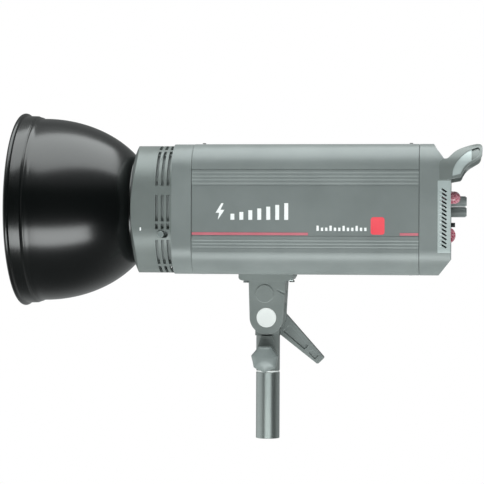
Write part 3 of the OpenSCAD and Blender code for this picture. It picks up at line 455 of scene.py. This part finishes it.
# Edge radius in mm of every node that keeps its CAD form but gets its rounded edges here
softened = {
    "front_collar": 0.6, "front_ring": 0.5, "rear_cap": 0.6, "handle": 0.6,
    "handle_inlays": 0.25, "vent_strip_left": 0.2, "vent_strip_right": 0.2, "side_plates": 0.15,
    "bracket_yoke": 0.9, "bracket_plate": 0.8, "tilt_lever": 0.8, "receiver": 0.6,
    "pan_washer": 0.2, "dial_power": 0.25, "dial_lamp": 0.25, "lever_cap": 0.3, "bracket_screws": 0.3,
    "release_button": 0.5, "rear_panel": 0.2, "display_window": 0.3, "mains_inlet": 0.3,
    "sync_socket": 0.3, "fuse_holder": 0.3, "fuse_cap": 0.3, "rocker_frame": 0.3, "power_rocker": 0.4,
    "test_button": 0.3, "key_sound": 0.3, "key_cell": 0.3, "key_lamp": 0.3, "mount_socket": 0.3,
}
for name, width in softened.items():
    mesh = softMesh(name + "_soft", cleanShape(name), width, 3 if width > 0.4 else 2)
    addPiece(name + "_soft", mesh, nodeBody[name], [finish[nodeSlot[name]]], [name])
print("edges rounded:", len(softened))


def newTree(name, sockets):
    # an empty geometry tree with named inputs
    tree = bpy.data.node_groups.new(name, "GeometryNodeTree")
    tree.interface.new_socket("Geometry", in_out="INPUT", socket_type="NodeSocketGeometry")
    for label, kind in sockets:
        tree.interface.new_socket(label, in_out="INPUT", socket_type="NodeSocket" + kind)
    tree.interface.new_socket("Geometry", in_out="OUTPUT", socket_type="NodeSocketGeometry")
    return tree, addNode(tree, "NodeGroupInput").outputs, addNode(tree, "NodeGroupOutput").inputs


def runTree(name, host, tree, values):
    # evaluates the tree on a mesh of points and returns a plain mesh
    holder = link(bpy.data.objects.new("holder", host))
    modifier = holder.modifiers.new("shape", "NODES")
    modifier.node_group = tree
    for item in tree.interface.items_tree:
        if item.in_out == "INPUT" and item.name in values:
            modifier[item.identifier] = values[item.name]
    result = bpy.data.meshes.new_from_object(holder.evaluated_get(bpy.context.evaluated_depsgraph_get()))
    bpy.data.objects.remove(holder)
    result.name = name
    return result


def spinTree():
    # turns a closed (along, 0, radius) profile about the X axis, then turns and places the result
    tree, given, out = newTree("spun profile", [
        ("Rows", "Int"), ("Segments", "Int"), ("Lined From", "Int"), ("Turn", "Rotation"),
        ("Place", "Vector"), ("Outside", "Material"), ("Inside", "Material")])
    columns = addNode(tree, "ShaderNodeMath", {0: given["Segments"], 1: 1.0}, operation="ADD").outputs[0]
    grid = addNode(tree, "GeometryNodeMeshGrid", {"Vertices X": given["Rows"], "Vertices Y": columns})
    index = addNode(tree, "GeometryNodeInputIndex").outputs[0]
    ratio = addNode(tree, "ShaderNodeMath", {0: index, 1: columns}, operation="DIVIDE").outputs[0]
    row = addNode(tree, "ShaderNodeMath", {0: ratio}, operation="FLOOR").outputs[0]
    column = addNode(tree, "ShaderNodeMath", {0: index, 1: columns}, operation="MODULO").outputs[0]
    share = addNode(tree, "ShaderNodeMath", {0: column, 1: given["Segments"]}, operation="DIVIDE").outputs[0]
    angle = addNode(tree, "ShaderNodeMath", {0: share, 1: math.tau}, operation="MULTIPLY").outputs[0]
    place = addNode(tree, "GeometryNodeInputPosition").outputs[0]
    profile = addNode(tree, "GeometryNodeSampleIndex", {
        "Geometry": given["Geometry"], "Value": place, "Index": row},
        data_type="FLOAT_VECTOR", domain="POINT")
    point = addNode(tree, "ShaderNodeSeparateXYZ", {0: profile.outputs[0]}).outputs
    cosine = addNode(tree, "ShaderNodeMath", {0: angle}, operation="COSINE").outputs[0]
    sine = addNode(tree, "ShaderNodeMath", {0: angle}, operation="SINE").outputs[0]
    across = addNode(tree, "ShaderNodeMath", {0: cosine, 1: point["Z"]}, operation="MULTIPLY").outputs[0]
    upward = addNode(tree, "ShaderNodeMath", {0: sine, 1: point["Z"]}, operation="MULTIPLY").outputs[0]
    spun = addNode(tree, "ShaderNodeCombineXYZ", {"X": point["X"], "Y": across, "Z": upward})
    moved = addNode(tree, "GeometryNodeSetPosition", {
        "Geometry": grid.outputs["Mesh"], "Position": spun.outputs[0]})
    coated = addNode(tree, "GeometryNodeSetMaterial", {
        "Geometry": moved.outputs[0], "Material": given["Outside"]})
    inner = addNode(tree, "FunctionNodeCompare", {
        2: row, 3: given["Lined From"]}, data_type="INT", operation="GREATER_EQUAL")
    lined = addNode(tree, "GeometryNodeSetMaterial", {
        "Geometry": coated.outputs[0], "Selection": inner.outputs[0], "Material": given["Inside"]})
    closed = addNode(tree, "GeometryNodeMergeByDistance", {"Geometry": lined.outputs[0], "Distance": 2e-6})
    turned = addNode(tree, "GeometryNodeTransform", {
        "Geometry": closed.outputs[0], "Rotation": given["Turn"], "Translation": given["Place"]})
    smooth = addNode(tree, "GeometryNodeSetShadeSmooth", {"Geometry": turned.outputs[0]})
    real = addNode(tree, "GeometryNodeRealizeInstances", {"Geometry": smooth.outputs[0]})
    tree.links.new(real.outputs[0], out[0])
    return tree


spin = spinTree()
aboutY = (0, 0, math.pi / 2)
aboutZ = (0, -math.pi / 2, 0)


def tidyNormals(mesh, sharp=35):
    # outward normals and crisp creases on a closed mesh
    shape = bmesh.new()
    shape.from_mesh(mesh)
    bmesh.ops.dissolve_degenerate(shape, dist=1e-7, edges=shape.edges)
    bmesh.ops.recalc_face_normals(shape, faces=shape.faces)
    shape.to_mesh(mesh)
    shape.free()
    mesh.set_sharp_from_angle(angle=math.radians(sharp))
    return mesh


def spun(name, profile, segments, turn, place, outside, inside=None, linedFrom=100000):
    # profile: list of (along, radius) in mm, closed by repeating its first point
    chain = [(a * mm, 0, r * mm) for a, r in profile + profile[:1]]
    host = bpy.data.meshes.new(name)
    host.from_pydata(chain, [(i, i + 1) for i in range(len(chain) - 1)], [])
    mesh = runTree(name, host, spin, {
        "Rows": len(chain), "Segments": segments, "Lined From": linedFrom, "Turn": turn, "Place": place,
        "Outside": outside, "Inside": inside or outside})
    return tidyNormals(mesh)


def arc(centre, radius, start, end, steps):
    return [(centre[0] + radius * math.cos(math.radians(start + (end - start) * i / steps)),
             centre[1] + radius * math.sin(math.radians(start + (end - start) * i / steps)))
            for i in range(steps + 1)]


# Reflector: one spun sheet from its flat neck over the step to the wired rim
bowl = {
    "radius": 100.8, "axis": 127.0, "depth": 104.0, "sheet": 1.3, "neckInner": 45.4,
    "bead": 2.6, "beadRadius": 104.2, "band": 18.5, "segments": 160, "steps": 40,
}


def makeReflector():
    neck = neckX / mm
    widest = neck - 2 - bowl["depth"]
    rim = widest - bowl["band"] - 2.5

    def wall(radius, axis, i):
        along = bowl["depth"] * i / bowl["steps"]
        return (widest + along, radius * math.sqrt(1 - (along / axis) ** 2))

    outer = [wall(bowl["radius"], bowl["axis"], i) for i in range(bowl["steps"], -1, -1)]
    neckRadius = outer[0][1]
    start = [(neck, bowl["neckInner"]), (neck, neckRadius - 1.2), (neck - 0.5, neckRadius - 0.2)]
    step = [(widest - 1.6, 101.2), (widest - 2.6, 102.0), (widest - 3.4, 102.3), (widest - 4.3, 102.1),
            (widest - 5.0, 101.9), (widest - 5.7, 102.3), (widest - 6.4, 103.3), (widest - 7.4, 103.7),
            (rim + 4.0, 104.0), (rim + 3.0, 104.1)]
    bead = arc((rim, bowl["beadRadius"]), bowl["bead"], 12, 318, 22)
    innerBand = [(rim + 3.4, 102.6), (widest - 7.4, 102.3), (widest - 6.0, 101.2), (widest - 4.8, 100.7),
                 (widest - 3.2, 100.9)]
    inner = [wall(bowl["radius"] - bowl["sheet"], bowl["axis"] - bowl["sheet"], i)
             for i in range(0, bowl["steps"] + 1)]
    end = [(neck - 1.6, inner[-1][1] - 1.4), (neck - 1.6, bowl["neckInner"])]
    profile = start + outer + step + bead + innerBand + inner + end
    lined = len(start + outer + step + bead)
    mesh = spun("reflector_spun", profile, bowl["segments"], (0, 0, 0), (0, 0, axisZ),
                finish["reflector_black"], lining, lined)
    piece = link(bpy.data.objects.new("reflector_spun", mesh))
    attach(piece, "reflector")
    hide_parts("reflector_bowl", "reflector_rim")


makeReflector()

# Pivot cap: shallow disc in a dark gap on the near cheek, coloured near-white as a painted reflection of its
# polished metal
disc = {"radius": 10.8, "thick": 2.0, "edge": 0.5, "dish": 0.15, "segments": 72}


def makeDisc():
    r, t, e = disc["radius"], disc["thick"], disc["edge"]
    profile = [(t, 0.0), (t, r - 0.1), (e, r)] + arc((e, r - e), e, 90, 180, 5) + [
        (disc["dish"], r - 1.6), (disc["dish"], 0.0)]
    mesh = spun("pivot_cap", profile, disc["segments"], aboutY, (0, discLow.y, pivotZ),
                finish["polished_disc"])
    addPiece("pivot_cap", mesh, "head", [finish["polished_disc"]], ["pivot_disc"])


makeDisc()

# Stand tube: open drawn tube with a deburred lower end
tube = {"radius": 13.0, "wall": 1.6, "length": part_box("stand_tube")[1].z / mm, "edge": 0.4, "segments": 96}


def makeTube():
    r, w, n, e = tube["radius"], tube["wall"], tube["length"], tube["edge"]
    profile = [(e, r), (n - e, r), (n, r - e), (n, r - w), (0.0, r - w), (0.0, r - e)]
    mesh = spun("stand_tube_drawn", profile, tube["segments"], aboutZ, (0, 0, 0), finish["tube_steel"])
    addPiece("stand_tube_drawn", mesh, "stand", [finish["tube_steel"]], ["stand_tube"])


makeTube()
print("spun pieces ready")


def skin(name, rings, closed, sharp=35):
    # joins rings of equal length into a closed surface, with caps where it isn't a loop
    shape = bmesh.new()
    rows = [[shape.verts.new(point) for point in ring] for ring in rings]
    pairs = list(zip(rows, rows[1:])) + ([(rows[-1], rows[0])] if closed else [])
    for first, second in pairs:
        for i in range(len(first)):
            j = (i + 1) % len(first)
            shape.faces.new((first[i], first[j], second[j], second[i]))
    if not closed:
        shape.faces.new(rows[0])
        shape.faces.new(rows[-1])
    for face in shape.faces:
        face.smooth = True
    mesh = bpy.data.meshes.new(name)
    shape.to_mesh(mesh)
    shape.free()
    return evenNormals(tidyNormals(mesh, sharp))


# Body: one extrusion whose section carries two bands of shallow ripples on each side
extrusion = {
    "corner": 28.0, "wall": 4.0, "endRound": 0.9, "seam": 0.25,
    "upper": (41.3, 26.2), "lower": (-31.4, -45.2),   # limits of the ripple bands from the axis
    "ripples": 4, "ripple": 0.28, "groove": 0.8, "panel": (25.1, -29.1), "panelDepth": 0.9,
}


def sideProfile():
    # (height, depth) down one side, from the upper corner to the lower one
    def band(top, low):
        count = extrusion["ripples"] * 12
        return [(top + (low - top) * i / count,
                 extrusion["ripple"] * (0.5 + 0.5 * math.cos(math.tau * extrusion["ripples"] * i / count)))
                for i in range(count + 1)]

    top, low = extrusion["upper"][0], extrusion["lower"][1]
    deep = extrusion["panelDepth"]
    return ([(top + 0.9, 0.0), (top + 0.7, extrusion["groove"]), (top + 0.2, extrusion["groove"])]
            + band(*extrusion["upper"])
            + [(extrusion["panel"][0] + 0.1, 0.3), (extrusion["panel"][0], deep),
               (extrusion["panel"][1], deep), (extrusion["panel"][1] - 0.1, 0.3)]
            + band(*extrusion["lower"])
            + [(low - 0.2, extrusion["groove"]), (low - 0.7, extrusion["groove"]), (low - 0.9, 0.0)])


def bodySection(half, inset):
    # closed (Y, Z) outline about the head axis
    r = extrusion["corner"]
    c = half - r
    points = []
    for sy, sz, start in ((1, 1, 90), (1, -1, 0), (-1, -1, -90), (-1, 1, 180)):
        corner = arc((sy * c, sz * c), r, start, start - 90, 16)
        points += corner
        if (sy, sz) == (1, 1):
            points += [(half - depth, z) for z, depth in sideProfile() if z < c]
        if (sy, sz) == (-1, -1):
            points += [(depth - half, z) for z, depth in reversed(sideProfile()) if z < c]
    scale = (half - inset) / half
    return [(y * scale, z * scale) for y, z in points]


def makeBody():
    half = (shellHigh.z - shellLow.z) / 2 / mm
    x0, x1 = shellLow.x / mm, shellHigh.x / mm
    e, s = extrusion["endRound"], extrusion["seam"]
    stations = [(x0 + s, e), (x0 + s + 0.3 * e, 0.3 * e), (x0 + s + e, 0.0)]
    stations += [(x0 + s + e + (x1 - x0 - 2 * s - 2 * e) * i / 12, 0.0) for i in range(1, 12)]
    stations += [(x1 - s - e, 0.0), (x1 - s - 0.3 * e, 0.3 * e), (x1 - s, e)]
    rings = [[(x * mm, y * mm, z * mm + axisZ) for y, z in bodySection(half, inset)]
             for x, inset in stations]
    for x in (x1 - s, x0 + s):
        section = bodySection(half, extrusion["wall"] + 0.6)
        rings.append([(x * mm, y * mm, z * mm + axisZ) for y, z in section])
    mesh = skin("body_extrusion", rings, True, 28)
    addPiece("body_extrusion", mesh, "head", [finish["housing"]], ["body_shell"])


makeBody()

# Star knob: seven shallow scallops and a crowned face that turns down into the rim
star = {"lobes": 7, "scallop": 1.6, "segments": 140}


def makeStarKnob():
    low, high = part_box("star_knob")
    # one cusp points straight down, so the height is a little less than two radii
    radius = (high.z - low.z) / (1 + math.cos(math.pi / star["lobes"])) / mm
    centreZ = low.z + radius * mm
    front, back = low.y / mm, high.y / mm

    def edge(angle):
        # 0 at a cusp, 1 in the middle of a scallop
        phase = ((angle / 360 * star["lobes"]) + 0.75) % 1.0
        return radius - star["scallop"] * (1 - abs(2 * phase - 1) ** 1.7)

    # (share of the outline, depth behind the front)
    steps = [(0.001, 0.0), (0.2, 0.12), (0.4, 0.5), (0.6, 1.15), (0.78, 2.1), (0.9, 3.0), (0.97, 3.9),
             (1.0, 5.0), (1.0, 11.5), (0.97, 12.6), (0.90, 13.2), (0.55, 13.4), (0.54, back - front)]
    rings = []
    for share, depth in steps:
        ring = []
        for i in range(star["segments"]):
            angle = 360 * i / star["segments"]
            blend = min(1.0, share ** 2 * 1.1) if share > 0.56 else 0.0
            size = (radius - 1.0) * share * (1 - blend) + edge(angle) * share * blend
            ring.append((size * math.cos(math.radians(angle)) * mm, (front + depth) * mm,
                         size * math.sin(math.radians(angle)) * mm + centreZ))
        rings.append(ring)
    mesh = skin("star_knob_crowned", rings, False, 40)
    addPiece("star_knob_crowned", mesh, "star", [finish["knob_plastic"]], ["star_knob"])


makeStarKnob()

# Inner sleeve behind the vent slots: pale fibre that the slots look onto
sleeve = {"half": 63.0, "corner": 44.6, "wall": 0.6, "back": 3.0, "front": 22.0}


def makeSleeve():
    low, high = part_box("front_ring")
    x0, x1 = high.x / mm - sleeve["front"], high.x / mm - sleeve["back"]

    def outline(x, half):
        c = half - sleeve["corner"]
        points = []
        for sy, sz, start in ((1, 1, 90), (1, -1, 0), (-1, -1, -90), (-1, 1, 180)):
            points += arc((sy * c, sz * c), sleeve["corner"], start, start - 90, 18)
        return [(x * mm, y * mm, z * mm + axisZ) for y, z in points]

    rings = [outline(x0, sleeve["half"]), outline(x1, sleeve["half"]),
             outline(x1, sleeve["half"] - sleeve["wall"]), outline(x0, sleeve["half"] - sleeve["wall"])]
    mesh = skin("vent_sleeve", rings, True, 35)
    addPiece("vent_sleeve", mesh, "head", [finish["sleeve"]])


makeSleeve()
print("body, knob and sleeve ready")

# Printed marks on both sides: a plain bolt, rising level bars, a short scale and a red square
marks = {
    "thick": 0.12, "bolt": (-51.0, 238.8, 17.6), "bars": (-34.0, 238.8, 9.6, 4.2, 7),
    "barHeights": (6.4, 8.3, 10.2, 12.1, 14.0, 15.9, 17.8),
    "scale": (58.0, 227.2, 4.6, 2.4, 12), "square": (115.4, 223.4, 14.6, 18.6, 3.0),
}


def boxOutline(x, z, width, height):
    return [(x, z), (x + width, z), (x + width, z + height), (x, z + height)]


def roundOutline(x, z, width, height, r):
    return (arc((x + r, z + r), r, 180, 270, 5) + arc((x + width - r, z + r), r, 270, 360, 5)
            + arc((x + width - r, z + height - r), r, 0, 90, 5) + arc((x + r, z + height - r), r, 90, 180, 5))


def printedMesh(name, outlines, face, thick, mirrored=False):
    # each (X, Z) outline becomes a thin film on the given Y face
    shape = bmesh.new()
    centre = (plateLow.x + plateHigh.x) / mm / 2
    for outline in outlines:
        points = [(2 * centre - x, z) for x, z in outline] if mirrored else outline
        side = 1 if face > 0 else -1
        inner = [shape.verts.new((x * mm, (face - side * 0.02) * mm, z * mm)) for x, z in points]
        outer = [shape.verts.new((x * mm, (face + side * thick) * mm, z * mm)) for x, z in points]
        shape.faces.new(inner)
        shape.faces.new(outer)
        for i in range(len(points)):
            j = (i + 1) % len(points)
            shape.faces.new((inner[i], inner[j], outer[j], outer[i]))
    bmesh.ops.recalc_face_normals(shape, faces=shape.faces)
    mesh = bpy.data.meshes.new(name)
    shape.to_mesh(mesh)
    shape.free()
    return mesh


def makeMarks():
    x, z, tall = marks["bolt"]
    white = [[(x + 7.2, z + tall), (x + 1.0, z + 0.42 * tall), (x + 5.0, z + 0.42 * tall), (x + 3.4, z),
              (x + 10.6, z + 0.6 * tall), (x + 6.2, z + 0.6 * tall), (x + 9.6, z + tall)]]
    x, z, step, width, count = marks["bars"]
    white += [boxOutline(x + i * step, z, width, marks["barHeights"][i]) for i in range(count)]
    x, z, step, width, count = marks["scale"]
    white += [boxOutline(x + i * step, z, width, 5.6 if i % 3 == 0 else 3.6) for i in range(count)]
    red = [roundOutline(*marks["square"])]
    for side, face in (("near", plateLow.y / mm), ("far", plateHigh.y / mm)):
        away = side == "far"
        addPiece("marks_white_" + side, printedMesh("marks", white, face, marks["thick"], away), "head",
                 [ink])
        addPiece("mark_red_" + side, printedMesh("mark", red, face, marks["thick"], away), "head",
                 [redInk])
    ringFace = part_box("front_ring")[0].y / mm
    index = [boxOutline(-132.0, axisZ / mm - 23.6, 1.5, 3.4)]
    addPiece("index_mark", printedMesh("index", index, ringFace, 0.1), "head", [ink])


makeMarks()

# Screws: pan heads with a cross recess, standing on the top and sunk flush underneath
screws = {"inset": 9.5, "across": 34.0, "radius": 3.2, "height": 1.5, "slot": 0.9, "sunk": 1.25}


def screwTree():
    tree, given, out = newTree("pan head screws", [
        ("Radius", "Float"), ("Height", "Float"), ("Slot", "Float"), ("Material", "Material")])
    crown = addNode(tree, "GeometryNodeMeshCone", {
        "Vertices": 28, "Radius Bottom": given["Radius"], "Depth": given["Height"]})
    small = addNode(tree, "ShaderNodeMath", {0: given["Radius"], 1: 0.78}, operation="MULTIPLY").outputs[0]
    tree.links.new(small, crown.inputs["Radius Top"])
    long = addNode(tree, "ShaderNodeMath", {0: given["Radius"], 1: 1.15}, operation="MULTIPLY").outputs[0]
    bars = addNode(tree, "GeometryNodeJoinGeometry")
    for first, second in ((long, given["Slot"]), (given["Slot"], long)):
        size = addNode(tree, "ShaderNodeCombineXYZ", {"X": first, "Y": second, "Z": given["Height"]})
        bar = addNode(tree, "GeometryNodeMeshCube", {"Size": size.outputs[0]})
        raised = addNode(tree, "GeometryNodeTransform", {
            "Geometry": bar.outputs[0], "Translation": (0, 0, 0.0014)})
        tree.links.new(raised.outputs[0], bars.inputs[0])
    cut = addNode(tree, "GeometryNodeMeshBoolean", {
        "Mesh 1": crown.outputs["Mesh"], "Mesh 2": bars.outputs[0]}, operation="DIFFERENCE")
    facing = addNode(tree, "GeometryNodeInputNamedAttribute", {"Name": "turn"}, data_type="FLOAT_VECTOR")
    placed = addNode(tree, "GeometryNodeInstanceOnPoints", {
        "Points": given["Geometry"], "Instance": cut.outputs[0], "Rotation": facing.outputs[0]})
    real = addNode(tree, "GeometryNodeRealizeInstances", {"Geometry": placed.outputs[0]})
    coated = addNode(tree, "GeometryNodeSetMaterial", {
        "Geometry": real.outputs[0], "Material": given["Material"]})
    tree.links.new(coated.outputs[0], out[0])
    return tree


def makeScrews():
    top, low = shellHigh.z / mm, shellLow.z / mm
    places = []
    turns = []
    for x in (shellLow.x / mm + screws["inset"], shellHigh.x / mm - screws["inset"]):
        for y in (-screws["across"], screws["across"]):
            places += [(x * mm, y * mm, top * mm), (x * mm, y * mm, (low + screws["sunk"]) * mm)]
            turns += [(0, 0, 0.4), (math.pi, 0, 0.4)]
    host = bpy.data.meshes.new("screw places")
    host.from_pydata(places, [], [])
    host.attributes.new("turn", "FLOAT_VECTOR", "POINT").data.foreach_set("vector", sum(turns, ()))
    mesh = runTree("shell_screw_heads", host, screwTree(), {
        "Radius": screws["radius"] * mm, "Height": screws["height"] * mm, "Slot": screws["slot"] * mm,
        "Material": finish["bright_steel"]})
    addPiece("shell_screw_heads", mesh, "head", [finish["bright_steel"]], ["shell_screws"])


makeScrews()
print("marks and screws ready")

# Vent strips: a small raised scoop beside every slot
scoops = {"count": 15, "first": -39.0, "span": 63.0, "slant": 32.0, "inFromEdge": 10.6,
          "length": 3.4, "height": 2.6, "proud": 0.75}


def repeatTree(name):
    # one small rounded block on every point, turned with the point
    tree, given, out = newTree(name, [
        ("Size", "Vector"), ("Turn", "Rotation"), ("Material", "Material"), ("Rounding", "Int")])
    ball = addNode(tree, "GeometryNodeMeshIcoSphere", {"Radius": 0.5, "Subdivisions": given["Rounding"]})
    placed = addNode(tree, "GeometryNodeInstanceOnPoints", {
        "Points": given["Geometry"], "Instance": ball.outputs["Mesh"], "Rotation": given["Turn"],
        "Scale": given["Size"]})
    real = addNode(tree, "GeometryNodeRealizeInstances", {"Geometry": placed.outputs[0]})
    smooth = addNode(tree, "GeometryNodeSetShadeSmooth", {"Geometry": real.outputs[0]})
    coated = addNode(tree, "GeometryNodeSetMaterial", {
        "Geometry": smooth.outputs[0], "Material": given["Material"]})
    tree.links.new(coated.outputs[0], out[0])
    return tree


def makeScoops():
    tree = repeatTree("vent scoops")
    for side, face in (("left", stripLow.y), ("right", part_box("vent_strip_right")[1].y)):
        x = stripHigh.x - scoops["inFromEdge"] * mm
        points = [(x, face, axisZ + (scoops["first"] + i * scoops["span"] / scoops["count"] + 0.6) * mm)
                  for i in range(scoops["count"])]
        host = bpy.data.meshes.new("scoop places")
        host.from_pydata(points, [], [])
        mesh = runTree("vent_scoops_" + side, host, tree, {
            "Size": (scoops["length"] * mm, scoops["proud"] * 2 * mm, scoops["height"] * mm),
            "Turn": (0, math.radians(scoops["slant"]), 0), "Material": finish["silver_trim"], "Rounding": 3})
        addPiece("vent_scoops_" + side, mesh, "head", [finish["silver_trim"]])


makeScoops()

# Rear panel print: a ring of ticks round each dial and a dot over each key
ticks = {"count": 11, "sweep": 300.0, "radius": 8.8, "size": (0.7, 2.0), "proud": 0.12, "dot": 1.3}


def tickTree():
    # flat ticks on an arc in the panel's plane, each pointing at the centre
    tree, given, out = newTree("tick ring", [
        ("Count", "Int"), ("Sweep", "Float"), ("Radius", "Float"), ("Size", "Vector"),
        ("Material", "Material")])
    half = addNode(tree, "ShaderNodeMath", {0: given["Sweep"], 1: -0.5}, operation="MULTIPLY").outputs[0]
    ring = addNode(tree, "GeometryNodeCurveArc", {
        "Resolution": given["Count"], "Radius": given["Radius"], "Start Angle": half,
        "Sweep Angle": given["Sweep"]}, mode="RADIUS")
    points = addNode(tree, "GeometryNodeCurveToPoints", {"Curve": ring.outputs["Curve"]}, mode="EVALUATED")
    tick = addNode(tree, "GeometryNodeMeshCube", {"Size": given["Size"]})
    index = addNode(tree, "GeometryNodeInputIndex").outputs[0]
    last = addNode(tree, "ShaderNodeMath", {0: given["Count"], 1: 1.0}, operation="SUBTRACT").outputs[0]
    step = addNode(tree, "ShaderNodeMath", {0: given["Sweep"], 1: last}, operation="DIVIDE").outputs[0]
    angle = addNode(tree, "ShaderNodeMath", {0: index, 1: step, 2: half}, operation="MULTIPLY_ADD").outputs[0]
    turn = addNode(tree, "ShaderNodeCombineXYZ", {"Z": angle})
    placed = addNode(tree, "GeometryNodeInstanceOnPoints", {
        "Points": points.outputs["Points"], "Instance": tick.outputs["Mesh"], "Rotation": turn.outputs[0]})
    # arc plane XY becomes the panel's plane, with the middle of the sweep on top
    stood = addNode(tree, "GeometryNodeTransform", {
        "Geometry": placed.outputs[0], "Rotation": (0, -math.pi / 2, 0)})
    real = addNode(tree, "GeometryNodeRealizeInstances", {"Geometry": stood.outputs[0]})
    coated = addNode(tree, "GeometryNodeSetMaterial", {
        "Geometry": real.outputs[0], "Material": given["Material"]})
    tree.links.new(coated.outputs[0], out[0])
    return tree


def makePanelPrint():
    tree = tickTree()
    shape = bmesh.new()
    for dial in ("dial_power", "dial_lamp"):
        low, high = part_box(dial)
        host = bpy.data.meshes.new("dial centre")
        mesh = runTree("ticks", host, tree, {
            "Count": ticks["count"], "Sweep": math.radians(ticks["sweep"]), "Radius": ticks["radius"] * mm,
            "Size": (ticks["size"][1] * mm, ticks["size"][0] * mm, ticks["proud"] * 2 * mm),
            "Material": ink})
        place = Vector((panelFace, (low.y + high.y) / 2, 0))
        joints = {joint["name"]: joint for joint in frame["record"]["behaviour"]["joints"]}
        place.z = joints["power_dial_turn" if dial == "dial_power" else "lamp_dial_turn"]["pos_m"][2]
        for vertex in mesh.vertices:
            vertex.co += place
        shape.from_mesh(mesh)
    for key in ("key_sound", "key_cell", "key_lamp"):
        low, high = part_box(key)
        spot = Vector((panelFace, (low.y + high.y) / 2, high.z + 0.0025))
        made = bmesh.ops.create_cone(shape, cap_ends=True, segments=16, radius1=ticks["dot"] / 2 * mm,
                                     radius2=ticks["dot"] / 2 * mm, depth=ticks["proud"] * 2 * mm)
        for vertex in made["verts"]:
            vertex.co = Vector((vertex.co.z, vertex.co.x, vertex.co.y)) + spot
    bmesh.ops.recalc_face_normals(shape, faces=shape.faces)
    mesh = bpy.data.meshes.new("panel_print")
    shape.to_mesh(mesh)
    shape.free()
    addPiece("panel_print", mesh, "head", [ink])


makePanelPrint()
print("strip scoops and panel print ready")

for name, node in nodes.items():
    node.data.materials.clear()
    node.data.materials.append(finish[nodeSlot[name]])
